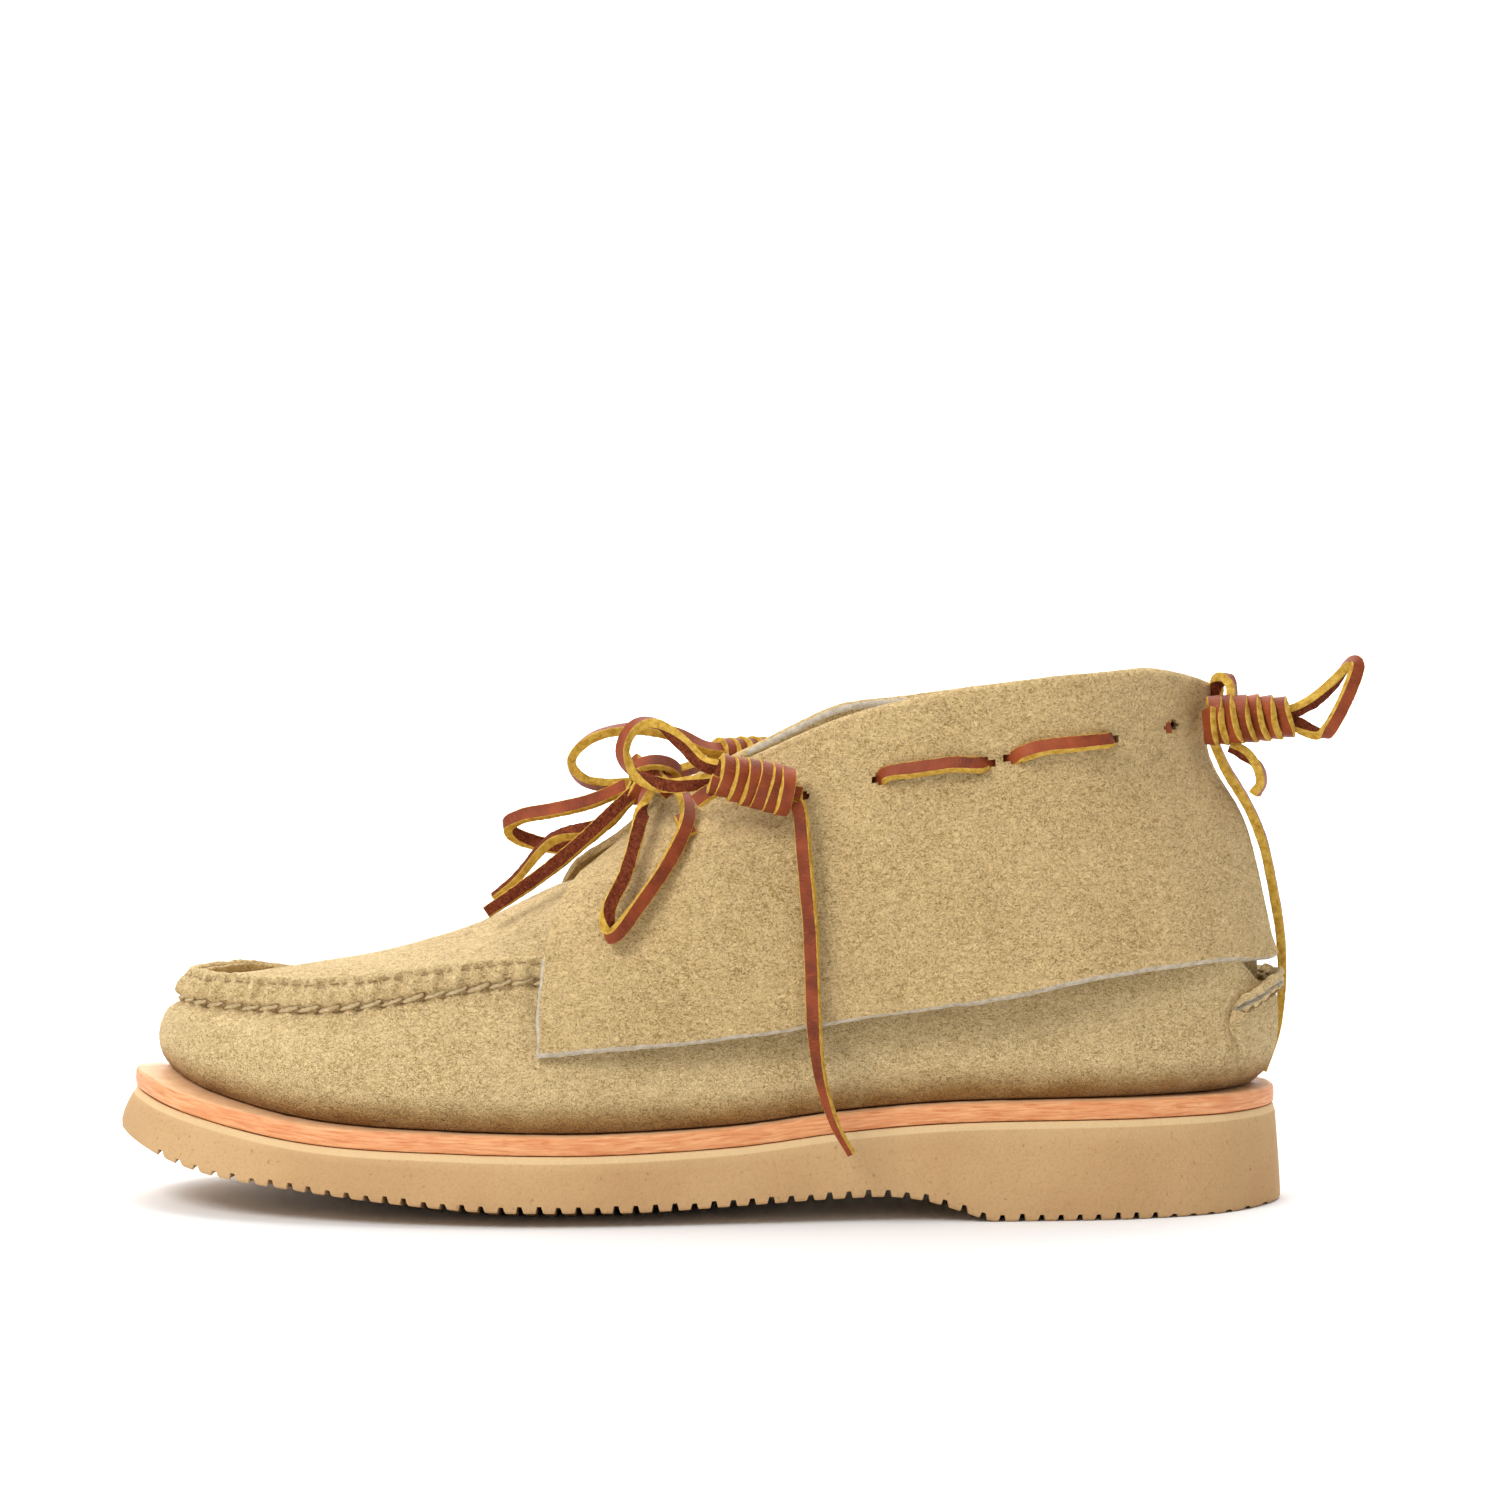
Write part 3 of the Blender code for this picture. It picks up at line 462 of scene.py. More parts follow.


def suede_look(name, light, dark):
    """Brushed suede: soft patches where the nap lies another way, a dense pile. A mark darkens it, partly as
    painted shade.
    """
    look = Look(name, 0.94, Sheen_Weight=0.1, Sheen_Roughness=0.5, Specular_IOR_Level=0.15)
    patches = look.noise(24, 3, distortion=0.6)
    strokes = look.noise(6.5, 3, distortion=0.8)
    lie = look.noise(1.4, 2, stretch=(0.8, 0.8, 1.25), distortion=1.4)
    pile = look.noise(0.7, 2, stretch=(0.8, 0.8, 1.2), distortion=1.6, rough=0.6)
    tips = look.noise(0.34, 2, rough=0.7)
    shade = look.maths("MULTIPLY", patches, 0.12)
    for layer, weight in ((strokes, 0.07), (lie, 0.32), (pile, 0.56), (tips, 0.18)):
        added = look.maths("MULTIPLY_ADD", layer, weight)
        look.link(shade, added.node.inputs[2])
        shade = added
    middle = tuple(0.62 * a + 0.38 * b for a, b in zip(light, dark))
    tone = look.ramp(shade, (0.49, dark), (0.61, middle), (0.77, light))
    # Darker where the mark says: low on the vamp, and painted shade in its stitch holes
    tone = look.mix(look.mark("darkened"), tone, DARKENED_TINT, "MULTIPLY")
    look.colour(tone)
    look.bump((strokes, 0.3), (lie, 0.7), (pile, 0.85), (tips, 0.25))
    return look.material


def cut_edge_look(name, light, dark):
    """The fibrous cut edge of leather."""
    look = Look(name, 0.95, Specular_IOR_Level=0.15)
    fibres = look.noise(0.35, 3, stretch=(1, 1, 2.2), distortion=1.0, rough=0.7)
    clumps = look.noise(1.6, 2)
    both = look.maths("ADD", look.maths("MULTIPLY", fibres, 0.6), look.maths("MULTIPLY", clumps, 0.4))
    look.colour(look.ramp(both, (0.36, dark), (0.6, light)))
    look.bump((clumps, 0.2), (fibres, 0.35))
    return look.material


def grain_look():
    """The smooth oiled grain side of the lace, with fine creases across it."""
    look = Look("lace_grain", 0.52, Specular_IOR_Level=0.22)
    along = look.mark("along", vector=True)
    tone = look.noise(9, 3, place=along)
    creases = look.noise(0.9, 3, place=along, stretch=(2.2, 0.5, 1), distortion=0.8)
    pores = look.noise(0.32, 2, rough=0.6)
    base = look.ramp(tone, (0.3, srgb(104, 44, 20)), (0.5, srgb(134, 59, 28)), (0.72, srgb(160, 76, 38)))
    base = look.mix(look.ramp(creases, (0.52, 0.0), (0.75, 0.45)), base, srgb(172, 92, 54))
    base = look.mix(look.ramp(pores, (0.3, 0.5), (0.42, 0.0)), base, srgb(104, 40, 18))
    look.colour(base)
    look.roughness(look.ramp(creases, (0.3, 0.42), (0.8, 0.62)))
    look.bump((creases, 0.12), (pores, 0.08))
    return look.material


def flesh_look():
    """The rough underside of the lace."""
    look = Look("lace_flesh", 0.97, Specular_IOR_Level=0.1)
    clumps = look.noise(1.1, 3, distortion=1.2, rough=0.6)
    fibres = look.noise(0.35, 3, distortion=1.5, rough=0.75)
    both = look.maths("ADD", look.maths("MULTIPLY", clumps, 0.45), look.maths("MULTIPLY", fibres, 0.55))
    tone = look.ramp(both, (0.36, srgb(66, 25, 14)), (0.5, srgb(126, 58, 34)), (0.66, srgb(182, 100, 62)))
    look.colour(tone)
    look.bump((clumps, 0.4), (fibres, 0.5))
    return look.material


def outsole_look():
    """Foam rubber with a pebbled mould finish and small darker flecks, and painted shade in the tread's
    grooves.
    """
    look = Look("foam_rubber", 0.78, Specular_IOR_Level=0.3)
    drift = look.noise(30, 2)
    pebbles = look.noise(0.75, 2, distortion=0.4)
    specks = look.noise(1.6, 1, rough=0.3)
    tone = look.ramp(drift, (0.3, srgb(189, 150, 104)), (0.7, srgb(200, 163, 116)))
    tone = look.mix(look.ramp(pebbles, (0.32, 0.35), (0.5, 0.0)), tone, srgb(172, 134, 90))
    tone = look.mix(look.ramp(specks, (0.72, 0.0), (0.78, 0.5)), tone, srgb(150, 104, 62))
    tone = look.mix(look.mark("strip"), tone, srgb(220, 188, 140))
    # Painted shade in the tread's grooves, darker where they are cut deeper
    tone = look.mix(look.mark("groove"), tone, srgb(120, 88, 56))
    look.colour(tone)
    look.bump((pebbles, 0.22), (look.noise(4.5, 2), 0.25))
    return look.material


def midsole_look():
    """Natural leather: a burnished edge with fibres along it, and a paler top, told apart by mark "edge"."""
    look = Look("midsole_leather", 0.5, Specular_IOR_Level=0.4)
    along = look.mark("along", vector=True)
    fibres = look.noise(1.0, 4, place=along, stretch=(0.12, 1.6, 1), distortion=0.5, rough=0.65)
    smears = look.noise(9, 3, place=along, stretch=(0.5, 2.0, 1))
    burnished = (0.3, srgb(198, 112, 62)), (0.5, srgb(228, 156, 102)), (0.7, srgb(242, 184, 134))
    edge = look.ramp(fibres, *burnished)
    edge = look.mix(look.ramp(smears, (0.45, 0.0), (0.75, 0.5)), edge, srgb(212, 126, 76))
    top = look.ramp(look.noise(5, 4, rough=0.6), (0.3, srgb(222, 168, 120)), (0.7, srgb(238, 194, 148)))
    look.colour(look.mix(look.mark("edge"), top, edge))
    look.bump((fibres, 0.16), (look.noise(0.5, 2), 0.05))
    return look.material


def thread_look(name, light, dark):
    """Waxed multi-ply thread: the plies follow the mark "along"."""
    look = Look(name, 0.7, Specular_IOR_Level=0.25)
    along = look.mark("along", vector=True)
    fibres = look.noise(0.22, 2, place=along, stretch=(0.25, 1.6, 1))
    look.colour(look.ramp(fibres, (0.3, dark), (0.65, light)))
    look.bump((fibres, 0.12))
    return look.material


def lining_look():
    """The insole's plain leather."""
    look = Look("insole_leather", 0.7, Specular_IOR_Level=0.25)
    tone = look.ramp(look.noise(18, 3), (0.3, srgb(150, 118, 82)), (0.7, srgb(172, 140, 102)))
    grain = look.noise(0.8, 2, distortion=0.6)
    look.colour(look.mix(look.ramp(grain, (0.35, 0.4), (0.55, 0.0)), tone, srgb(118, 88, 58)))
    look.bump((grain, 0.12))
    return look.material


SUEDE_LOOK = suede_look("suede", srgb(252, 223, 166), srgb(176, 142, 86))
COLLAR_LOOK = suede_look("collar_suede", srgb(248, 216, 157), srgb(168, 134, 78))
APRON_LOOK = suede_look("apron_suede", srgb(253, 224, 168), srgb(175, 141, 86))
EDGE_LOOK = cut_edge_look("suede_edge", srgb(228, 217, 198), srgb(176, 158, 128))
LACE_EDGE = cut_edge_look("lace_edge", srgb(240, 200, 92), srgb(176, 120, 26))
LACE_LOOKS = [grain_look(), LACE_EDGE, flesh_look()]
SOLE_LOOK = outsole_look()
MIDSOLE_LOOK = midsole_look()
THREAD_LOOK = thread_look("seam_thread", srgb(220, 197, 154), srgb(158, 132, 90))
DARK_THREAD = thread_look("edge_thread", srgb(178, 150, 106), srgb(126, 100, 64))
LINING = lining_look()


# ---------------------------------------------------------------- laces

# Each route has the way that the lace's grain side faces at each of its points. The routes are the CAD's own,
# with their ends led into the knots
RING_LOOP = [
    ((8, -36.6, 115), (0.3, 0.85, 0.4)), ((1, -35, 116.4), (0.3, 0.85, 0.4)),
    ((-4.5, -31.6, 121.4), (0.35, 0.8, 0.45)),
    ((-11, -28, 126), (0, 0.2, 1)), ((-17, -26, 124.8), (-0.65, -0.5, 0.55)),
    ((-19.8, -25, 118.4), (-0.75, -0.66, 0)), ((-15.8, -26, 112.2), (-0.5, 0.1, -0.85)),
    ((-8, -30, 110.4), (0, 0.95, -0.1)), ((1, -34.4, 111.8), (0, 0.9, 0.4)),
    ((8, -36.6, 112.8), (0, 0.9, 0.4)),
]
MEDIAL_RING_LOOP = [
    ((7, 32, 113.4), (0.3, -0.5, 0.8)),
    ((1, 28, 114.4), (0.3, -0.5, 0.8)), ((-7, 26, 118.2), (0.1, -0.6, 0.8)),
    ((-17.5, 23.5, 120), (0, -0.3, 0.95)), ((-28, 22, 118), (-0.6, -0.1, 0.8)),
    ((-34, 21.6, 112), (-1, 0, 0)), ((-30.4, 22, 106.4), (-0.5, -0.45, -0.75)),
    ((-21, 23.4, 105), (0, -0.7, -0.7)), ((-10, 25.6, 107), (0, -0.7, -0.7)),
    ((1, 28.6, 110.4), (0, -0.6, -0.8)),
    ((7, 32, 111), (0, -0.6, -0.8)),
]
SIDE_TAIL = [
    ((24.6, -41.4, 107.4), (-0.3, -0.95, 0.1)),
    ((25.6, -42.2, 103.4), (-0.3, -0.95, 0.1)), ((26.6, -44.4, 92), (-0.35, -0.93, 0.1)),
    ((28, -46.6, 76), (-0.3, -0.95, 0.1)), ((28.6, -49.4, 60), (-0.25, -0.95, 0.1)),
    ((29, -51.2, 50), (-0.3, -0.95, 0)),
    ((30.6, -52, 38), (-0.4, -0.9, 0)), ((34, -52, 27), (-0.5, -0.85, -0.1)),
    ((38.4, -52.4, 19), (-0.6, -0.75, -0.2)),
]
HEEL_LOOP = [
    ((149.4, -12.4, 127.2), (-0.2, 0.6, 0.7)),
    ((153.2, -12, 128.2), (-0.2, 0.6, 0.7)), ((158, -11, 130.8), (-0.4, 0.6, 0.6)),
    ((162.6, -10.4, 135), (-0.6, 0.4, 0.6)), ((166.4, -10.8, 139.8), (-0.3, -0.2, 0.92)),
    ((168.4, -12.6, 139.4), (0.35, -0.9, 0.25)), ((165.6, -14.6, 131.6), (0.28, -0.95, 0.1)),
    ((161.4, -15, 123.8), (0.2, -0.95, -0.2)), ((158.6, -13.6, 122), (0, 0.2, -0.98)),
    ((153.2, -12.6, 124.4), (0, 0.8, -0.6)),
    ((149.4, -12.6, 125.4), (0, 0.8, -0.6)),
]
HEEL_TAIL = [
    ((131.2, -11.6, 121.6), (0.93, -0.15, 0.4)),
    ((132.8, -9, 117.8), (0.93, -0.15, 0.4)), ((135.6, -5.4, 112), (0.93, -0.12, 0.4)),
    ((141.6, -1, 102), (0.93, -0.12, 0.4)), ((145.8, 2, 92), (0.95, -0.15, 0.2)),
    ((148.8, 5, 79), (0.97, -0.15, 0.2)), ((150.6, 7, 69), (0.98, -0.12, 0.1)),
    ((151.4, 8.4, 59), (1, -0.1, 0)), ((151.2, 9.4, 50), (1, -0.1, 0)),
    ((150, 10, 41), (0.98, -0.1, -0.1)), ((146.8, 10, 31.6), (0.95, -0.1, -0.2)),
]
BOW_LOOP_LATERAL = [
    ((-8.6, -10.5, 110), (0.5, -0.5, 0.7)), ((-4.6, -19, 107), (0.6, -0.6, 0.5)),
    ((-3.4, -28.8, 101.4), (0.3, -0.95, 0.1)), ((-8, -37.8, 91.6), (0.1, -0.99, 0)),
    ((-15.2, -44, 81.6), (0.1, -0.99, 0)), ((-21.2, -48, 74.6), (0.2, -0.9, -0.3)),
    ((-23.2, -47.2, 75), (-0.9, 0.1, -0.35)), ((-22.8, -45, 81), (-0.1, 0.99, -0.1)),
    ((-18.8, -39.4, 89), (0, 0.99, -0.1)), ((-16, -30.5, 98.2), (0, 0.99, 0)),
    ((-14.4, -19, 105), (-0.1, 0.8, 0.6)), ((-13, -12.2, 108), (-0.1, 0.7, 0.7)),
]
BOW_LOOP_MEDIAL = [
    ((-18.8, 0, 107.4), (0, -0.88, 0.48)), ((-28, 6, 102.8), (-0.05, -0.9, 0.45)),
    ((-38, 11, 99.9), (-0.1, -0.9, 0.4)), ((-46.4, 14.6, 98), (-0.35, -0.85, 0.4)),
    ((-50.6, 16.6, 95.4), (-0.98, -0.2, -0.1)), ((-48.6, 18, 92.4), (-0.5, 0.7, -0.5)),
    ((-42, 18, 90.2), (0, 0.95, -0.3)), ((-35, 16, 89.6), (0.1, 0.95, -0.3)),
    ((-28.6, 11.6, 93.4), (0.1, 0.9, -0.4)), ((-22.8, 6.6, 99.4), (0.1, 0.9, -0.4)),
    ((-18.4, 2.6, 104), (0.1, 0.9, -0.4)),
]
BOW_TAIL_LONG = [
    ((-16.4, -7.6, 106.8), (0.15, 0.95, -0.3)), ((-19, -8.6, 104.6), (0.15, 0.95, -0.3)),
    ((-28, -12.4, 96.4), (0.15, 0.95, -0.3)),
    ((-38, -15, 88), (0.15, 0.96, -0.25)), ((-48, -17, 81), (0.1, 0.97, -0.2)),
    ((-55, -18, 76.4), (0.1, 0.97, -0.2)),
]
BOW_TAIL_SHORT = [
    ((-16.8, -3.6, 105.8), (0.1, 0.9, -0.3)), ((-19.4, -2.6, 103.6), (0.1, 0.9, -0.3)),
    ((-25.6, 1, 97), (0.3, 0.85, -0.4)),
    ((-36.4, 4, 94), (0.45, 0.35, -0.8)), ((-41.4, 5, 90.4), (0.6, 0.2, -0.75)),
    ((-48, 6, 82.6), (0.65, 0.3, -0.7)), ((-54, 7, 77.4), (0.65, 0.3, -0.7)),
]
SIDE_BARREL = ((3, -37, 114.4), (23.6, -40, 109.4))
MEDIAL_BARREL = ((4, 31.4, 111.6), (23.6, 40.2, 109.3))
HEEL_BARREL = ((152.2, -12.4, 126.4), (129.2, -12.4, 125.4))
# Short ends that stand out of the knots, with the body that each rides on
STRAND_ENDS = (
    ("lateral_barrel_end", [((6.5, -36, 111), (-0.1, -0.9, 0.4)), ((2.4, -37, 109.4), (-0.1, -0.9, 0.4)),
                            ((-1, -36.6, 107), (-0.2, -0.9, 0.3))], "shoe"),
    ("lateral_barrel_nub", [((19, -38, 109.8), (0.2, -0.7, 0.7)), ((22.8, -38.6, 109.6), (0.2, -0.9, 0.4)),
                            ((25.8, -39, 109), (0.2, -0.9, 0.3))], "shoe"),
    ("tongue_lace_end", [((-4.8, -25, 101.8), (0.2, -0.97, 0)), ((-3.4, -28.8, 99.6), (0.2, -0.97, 0)),
                         ((-2.4, -30.4, 97.6), (0.2, -0.97, 0))], "shoe"),
    ("heel_arc", [((132.8, -2, 130), (0.4, 0.5, 0.8)), ((133.2, -3.6, 134.4), (0.3, 0.3, 0.9)),
                  ((135.2, -7, 136), (0.3, -0.2, 0.95)), ((136.4, -10, 133.6), (0.9, -0.2, 0.4)),
                  ((136.4, -12, 130), (0.9, -0.2, 0))], "shoe"),
    ("heel_strand_end", [((136, -13, 119), (0, 0.5, 0.85)), ((139.6, -13.8, 117), (0.3, 0.5, 0.8)),
                         ((143, -13.6, 113.6), (0.85, -0.2, 0.5)), ((144, -13, 109.6), (0.95, -0.3, 0)),
                         ((142.4, -12.4, 106.4), (0.8, -0.4, -0.5))], "heel_toggle"),
)
BARREL_RADIUS = 6.9
BARREL_TAPER = 0.16  # how much thinner its free end is
WRAP_TURNS = 6.6
CORE_RADIUS, CORE_INSET, CORE_RINGS, CORE_AROUND = BARREL_RADIUS - 3.0, 1.2, 24, 20
CORNER = 0.22  # how far a cut lace's corners are rounded
GRAIN, EDGE, FLESH = range(3)  # places in LACE_LOOKS
# (seed, middle, the ellipse's two half axes, its size, start angle, turns, how far it moves along its axis)
KNOT_TURNS = (
    (31, (-11.8, -6.2, 111.4), (1.15, 0.1, -0.1), (0.1, -0.72, 0.7), 5.0, 2.4, 1.06, 2.0),
    (32, (-15.6, -5.6, 108.8), (0.25, -0.95, 0.1), (0.45, 0.1, 0.9), 4.8, 1.0, 1.05, 2.2),
    (33, (-9.4, -4.6, 109.4), (-0.3, -0.95, 0.1), (-0.5, 0.1, 0.85), 4.6, 2.6, 1.05, 2.2),
)


def lace_section(wide, thick):
    """Points round a cut lace, as (across, up, face)."""
    w, t, r = wide / 2, thick / 2, CORNER
    grain = [(w - r - k * (wide - 2 * r) / 6, t, GRAIN) for k in range(6)] + [(-w + r, t, EDGE)]
    left = [(-w, t - r, EDGE), (-w, 0, EDGE), (-w, -t + r, EDGE), (-w + r, -t, FLESH)]
    flesh = [(-w + r + k * (wide - 2 * r) / 6, -t, FLESH) for k in range(1, 6)] + [(w - r, -t, EDGE)]
    right = [(w, -t + r, EDGE), (w, 0, EDGE), (w, t - r, EDGE)]
    return grain + left + flesh + right


def lace_mesh(centre, grain, wide, thick, seed, fuzz=1.0, shrink=1.0):
    """(verts, faces, face materials, "along" mark) of a lace along a line, its grain side facing as given."""
    section = lace_section(wide, thick)
    count, rings = len(section), len(centre)
    tangent = unit(np.gradient(centre, axis=0))
    up = unit(grain - tangent * (grain * tangent).sum(axis=1, keepdims=True))
    across = np.cross(tangent, up)
    offset = np.array([(a, b) for a, b, _ in section])
    face_of = np.array([f for _, _, f in section])
    shrink = np.broadcast_to(shrink, rings)
    verts = (
        centre[:, None]
        + across[:, None] * (offset[:, 0] * shrink[:, None])[..., None]
        + up[:, None] * (offset[:, 1] * shrink[:, None])[..., None]
    )
    outward = unit(verts - centre[:, None])
    shift = np.array([seed * 13.7, seed * 5.1, 0])
    rough = noise(verts + shift, 0.7) * 0.10 + noise(verts + shift, 0.38) * 0.09
    slow = noise(verts + shift, 5) * 0.10
    weight = np.choose(face_of, [0.12, 0.75, 1.25]) * fuzz
    verts = verts + outward * (rough * weight + slow)[..., None]
    s = lengths_along(centre)
    around = np.concatenate([[0], np.cumsum(np.hypot(*np.diff(offset, axis=0).T))])
    along = np.stack(np.broadcast_arrays(s[:, None], around[None], seed * 10.0), axis=-1)
    materials = np.tile(face_of, rings - 1).tolist() + [EDGE, EDGE]
    return verts.reshape(-1, 3), tube_faces(rings, count), materials, along.reshape(-1, 3)


def lace_line(route, step=0.55):
    """(centre, grain direction) at even steps along a route."""
    points = np.array([p for p, _ in route], float)
    facing = unit(np.array([g for _, g in route], float))
    t = np.linspace(0, len(route) - 1, 30 * len(route))
    dense, turned = spline(points, t), unit(spline(facing, t))
    total = lengths_along(dense)[-1]
    wanted = np.linspace(0, total, max(int(total / step), 8))
    return at_lengths(dense, wanted), unit(at_lengths(dense, wanted, turned))


def joined(parts):
    """One set of mesh data from several."""
    verts, faces, materials, along, first = [], [], [], [], 0
    for v, f, m, a in parts:
        verts.append(v)
        along.append(a)
        faces += [[first + k for k in face] for face in f]
        materials += m
        first += len(v)
    return np.concatenate(verts), faces, materials, np.concatenate(along)


def lace_piece(name, parts, nodes, body="shoe"):
    verts, faces, materials, along = joined(parts)
    marks = {"along": along * MM}
    return piece(name, verts, faces, LACE_LOOKS, nodes, body, materials, marks, sharp=35)


def free_lace(name, route, seed, node, body="shoe", taper=0.0):
    """A lace along a route. It gets thinner by taper towards its far end."""
    centre, grain = lace_line(route)
    share = np.linspace(0, 1, len(centre))
    shrink = 1 - taper * smooth((share - 0.55) / 0.45)
    mesh = lace_mesh(centre, grain, LACE_WIDE, LACE_THICK, seed, shrink=shrink)
    made = lace_piece(name, [mesh], [node], body)


def mirrored(route):
    """The same route on the inner side."""
    return [((x, -y, z), (gx, -gy, gz)) for (x, y, z), (gx, gy, gz) in route]


def barrel_frame(ends):
    """A barrel's free end, its length, its axis and two directions across it."""
    start, end = (np.array(p, float) for p in ends)
    axis = unit(end - start)
    side = unit(np.cross(axis, (0, 0, 1)))
    return start, np.linalg.norm(end - start), axis, side, np.cross(axis, side)


def wrap_mesh(ends, seed, hand, flap, bow):
    """A lace wound round a barrel from its free end to its root, each turn lifted by flap degrees.

    The turns lean along the barrel by the two lengths in bow, and hand is the way they wind.
    """
    start, length, axis, side, other = barrel_frame(ends)
    angle = np.linspace(0, 2 * math.pi * WRAP_TURNS, int(WRAP_TURNS * 64))
    share = angle / angle[-1]
    drift = noise(np.stack([angle * 1.1, share * 0 + seed * 3.3, share * 0], axis=1), 2.2)
    wound = np.clip((angle - 0.8 * math.pi) / (angle[-1] - 1.8 * math.pi), 0, 1)
    run = LACE_WIDE / 2 + (length - LACE_WIDE) * wound + drift * 0.3
    sway = bow[0] * np.cos(angle) + bow[1] * hand * np.sin(angle)
    run += sway * np.sin(math.pi * np.clip(wound, 0.08, 0.92)) ** 0.5
    spoke = side * np.cos(angle * hand)[:, None] + other * np.sin(angle * hand)[:, None]
    thinner = BARREL_TAPER * BARREL_RADIUS * (1 - smooth(share * 1.6))
    size = BARREL_RADIUS - LACE_THICK / 2 - 0.45 - thinner + drift * 0.12
    centre = start + axis * run[:, None] + spoke * size[:, None]
    tilt = np.radians(3 + flap * np.abs(np.cos(angle)) * np.clip(0.6 + 2.0 * drift, 0.08, 1.3))[:, None]
    grain = spoke * np.cos(tilt) + axis * np.sin(tilt)
    return lace_mesh(centre, grain, LACE_WIDE + 0.1, LACE_THICK - 0.3, seed, fuzz=0.7)


def core_mesh(ends):
    """What fills a barrel: the three strands that its turns bind."""
    start, length, axis, side, other = barrel_frame(ends)
    run = np.linspace(CORE_INSET, length - CORE_INSET, CORE_RINGS)
    angle = np.arange(CORE_AROUND) * 2 * math.pi / CORE_AROUND
    size = CORE_RADIUS * (1 + 0.12 * np.cos(3 * angle))
    spoke = side * np.cos(angle)[:, None] + other * np.sin(angle)[:, None]
    verts = start + axis * run[:, None, None] + spoke * size[:, None]
    verts = verts + noise(verts, 1.2)[..., None] * spoke * 0.2
    faces = tube_faces(CORE_RINGS, CORE_AROUND)
    return verts.reshape(-1, 3), faces, [FLESH] * len(faces), np.zeros((verts.size // 3, 3))


def turn_mesh(seed, centre, u, v, size, start, turns, grow):
    """A lace that goes round an ellipse with half axes u and v, its grain side out."""
    u, v = np.array(u, float), np.array(v, float)
    angle = np.linspace(start, start + 2 * math.pi * turns, int(90 * turns))
    normal = unit(np.cross(u, v))
    line = np.array(centre, float) + np.outer(np.cos(angle), u * size) + np.outer(np.sin(angle), v * size)
    line = line + np.outer(np.linspace(-grow / 2, grow / 2, len(angle)), normal)
    out = unit(np.outer(np.cos(angle), u) + np.outer(np.sin(angle), v))
    return lace_mesh(line, out, LACE_WIDE, LACE_THICK - 0.2, seed)


def build_laces():
    free_lace("ring_loop_outer", RING_LOOP, 1, "ring_loop_lateral")
    free_lace("ring_loop_inner", MEDIAL_RING_LOOP, 2, "ring_loop_medial")
    free_lace("heel_loop_lace", HEEL_LOOP, 3, "heel_loop", "heel_toggle")
    free_lace("tail_outer", SIDE_TAIL, 4, "tail_lateral", "lateral_tail", 0.45)
    free_lace("tail_inner", mirrored(SIDE_TAIL), 5, "tail_medial", "medial_tail", 0.45)
    free_lace("tail_heel_lace", HEEL_TAIL, 6, "tail_heel", "heel_tail", 0.25)
    free_lace("bow_loop_outer", BOW_LOOP_LATERAL, 7, "bow_loop_lateral")
    free_lace("bow_loop_inner", BOW_LOOP_MEDIAL, 8, "bow_loop_medial")
    free_lace("bow_end_long", BOW_TAIL_LONG, 9, "bow_tail_long", "long_bow_tail", 0.15)
    free_lace("bow_end_short", BOW_TAIL_SHORT, 10, "bow_tail_short", "short_bow_tail", 0.25)
    for name, ends, hand, seed, body, flap, bow in (
        ("barrel_lateral", SIDE_BARREL, 1, 21, "shoe", 24, (1.8, -0.85)),
        ("barrel_medial", MEDIAL_BARREL, -1, 22, "shoe", 24, (1.8, -0.85)),
        ("barrel_heel", HEEL_BARREL, 1, 23, "heel_toggle", 42, (-0.8, -0.5)),
    ):
        parts = [wrap_mesh(ends, seed, hand, flap, bow), core_mesh(ends)]
        lace_piece(name + "_wraps", parts, [name], body)
    lace_piece("bow_knot_turns", [turn_mesh(*turn) for turn in KNOT_TURNS], ["bow_knot"])
    for k, (name, route, body) in enumerate(STRAND_ENDS):
        lace_piece(name, [lace_mesh(*lace_line(route), LACE_WIDE, LACE_THICK, 51 + k)], [], body)


# ---------------------------------------------------------------- sole


GROOVE_PITCH, GROOVE_DEPTH, GROOVE_OPEN, GROOVE_FLOOR = 4.9, 1.7, 1.9, 1.1
GROOVE_LIP = 0.25  # from a groove's edge to the flat tread
TOE_PLAIN, HEEL_PLAIN = 12, 4.5  # lengths of the sole's ends that have no grooves
END_STEPS = 26  # sections in each of those ends
ACROSS = 33  # points across the tread
CROWN_WIDTH = 22  # how far in from its edge the tread is crowned
TREAD_INSET, LID_INSET = 0.45, 0.35
STRIP = 1.9  # height of the paler band along the outsole's top
WALL_FOOT = 2.6  # height above the edge at which the wall between tread and band starts
# The outsole's sides from the tread up: (share of the flare, what the step is measured on, step, inset)
SIDE_LEVELS = (
    (1.0, "tread", 0.55, 0), (1.0, "tread", 1.1, 0), (1.0, "tread", 2.3, 0),
    (0.85, "wall", 0.25, 0), (0.66, "wall", 0.5, 0), (0.46, "wall", 0.75, 0),
    (0.26, "band", 0.06, 0), (0.16, "band", -0.3, 0), (0.02, "top", 0.35, 0), (0.0, "top", 0.0, LID_INSET),
)
MIDSOLE_COLUMNS = 1100
ROUGH = np.random.default_rng(5)


def sole_level(share, inset, u):
    """(x, outer y, inner y) of the outsole's plan at shares u of its length, with that share of its flare."""
    line, normals = outline(FINE_COLUMNS)
    ring = line + normals * (value_at(SOLE_FLARE, line[:, 0]) * share - inset)[:, None]
    outer, inner = two_sides(ring)
    x = outer[0, 0] + (outer[-1, 0] - outer[0, 0]) * u
    return x, y_at(outer, x), y_at(inner, x)


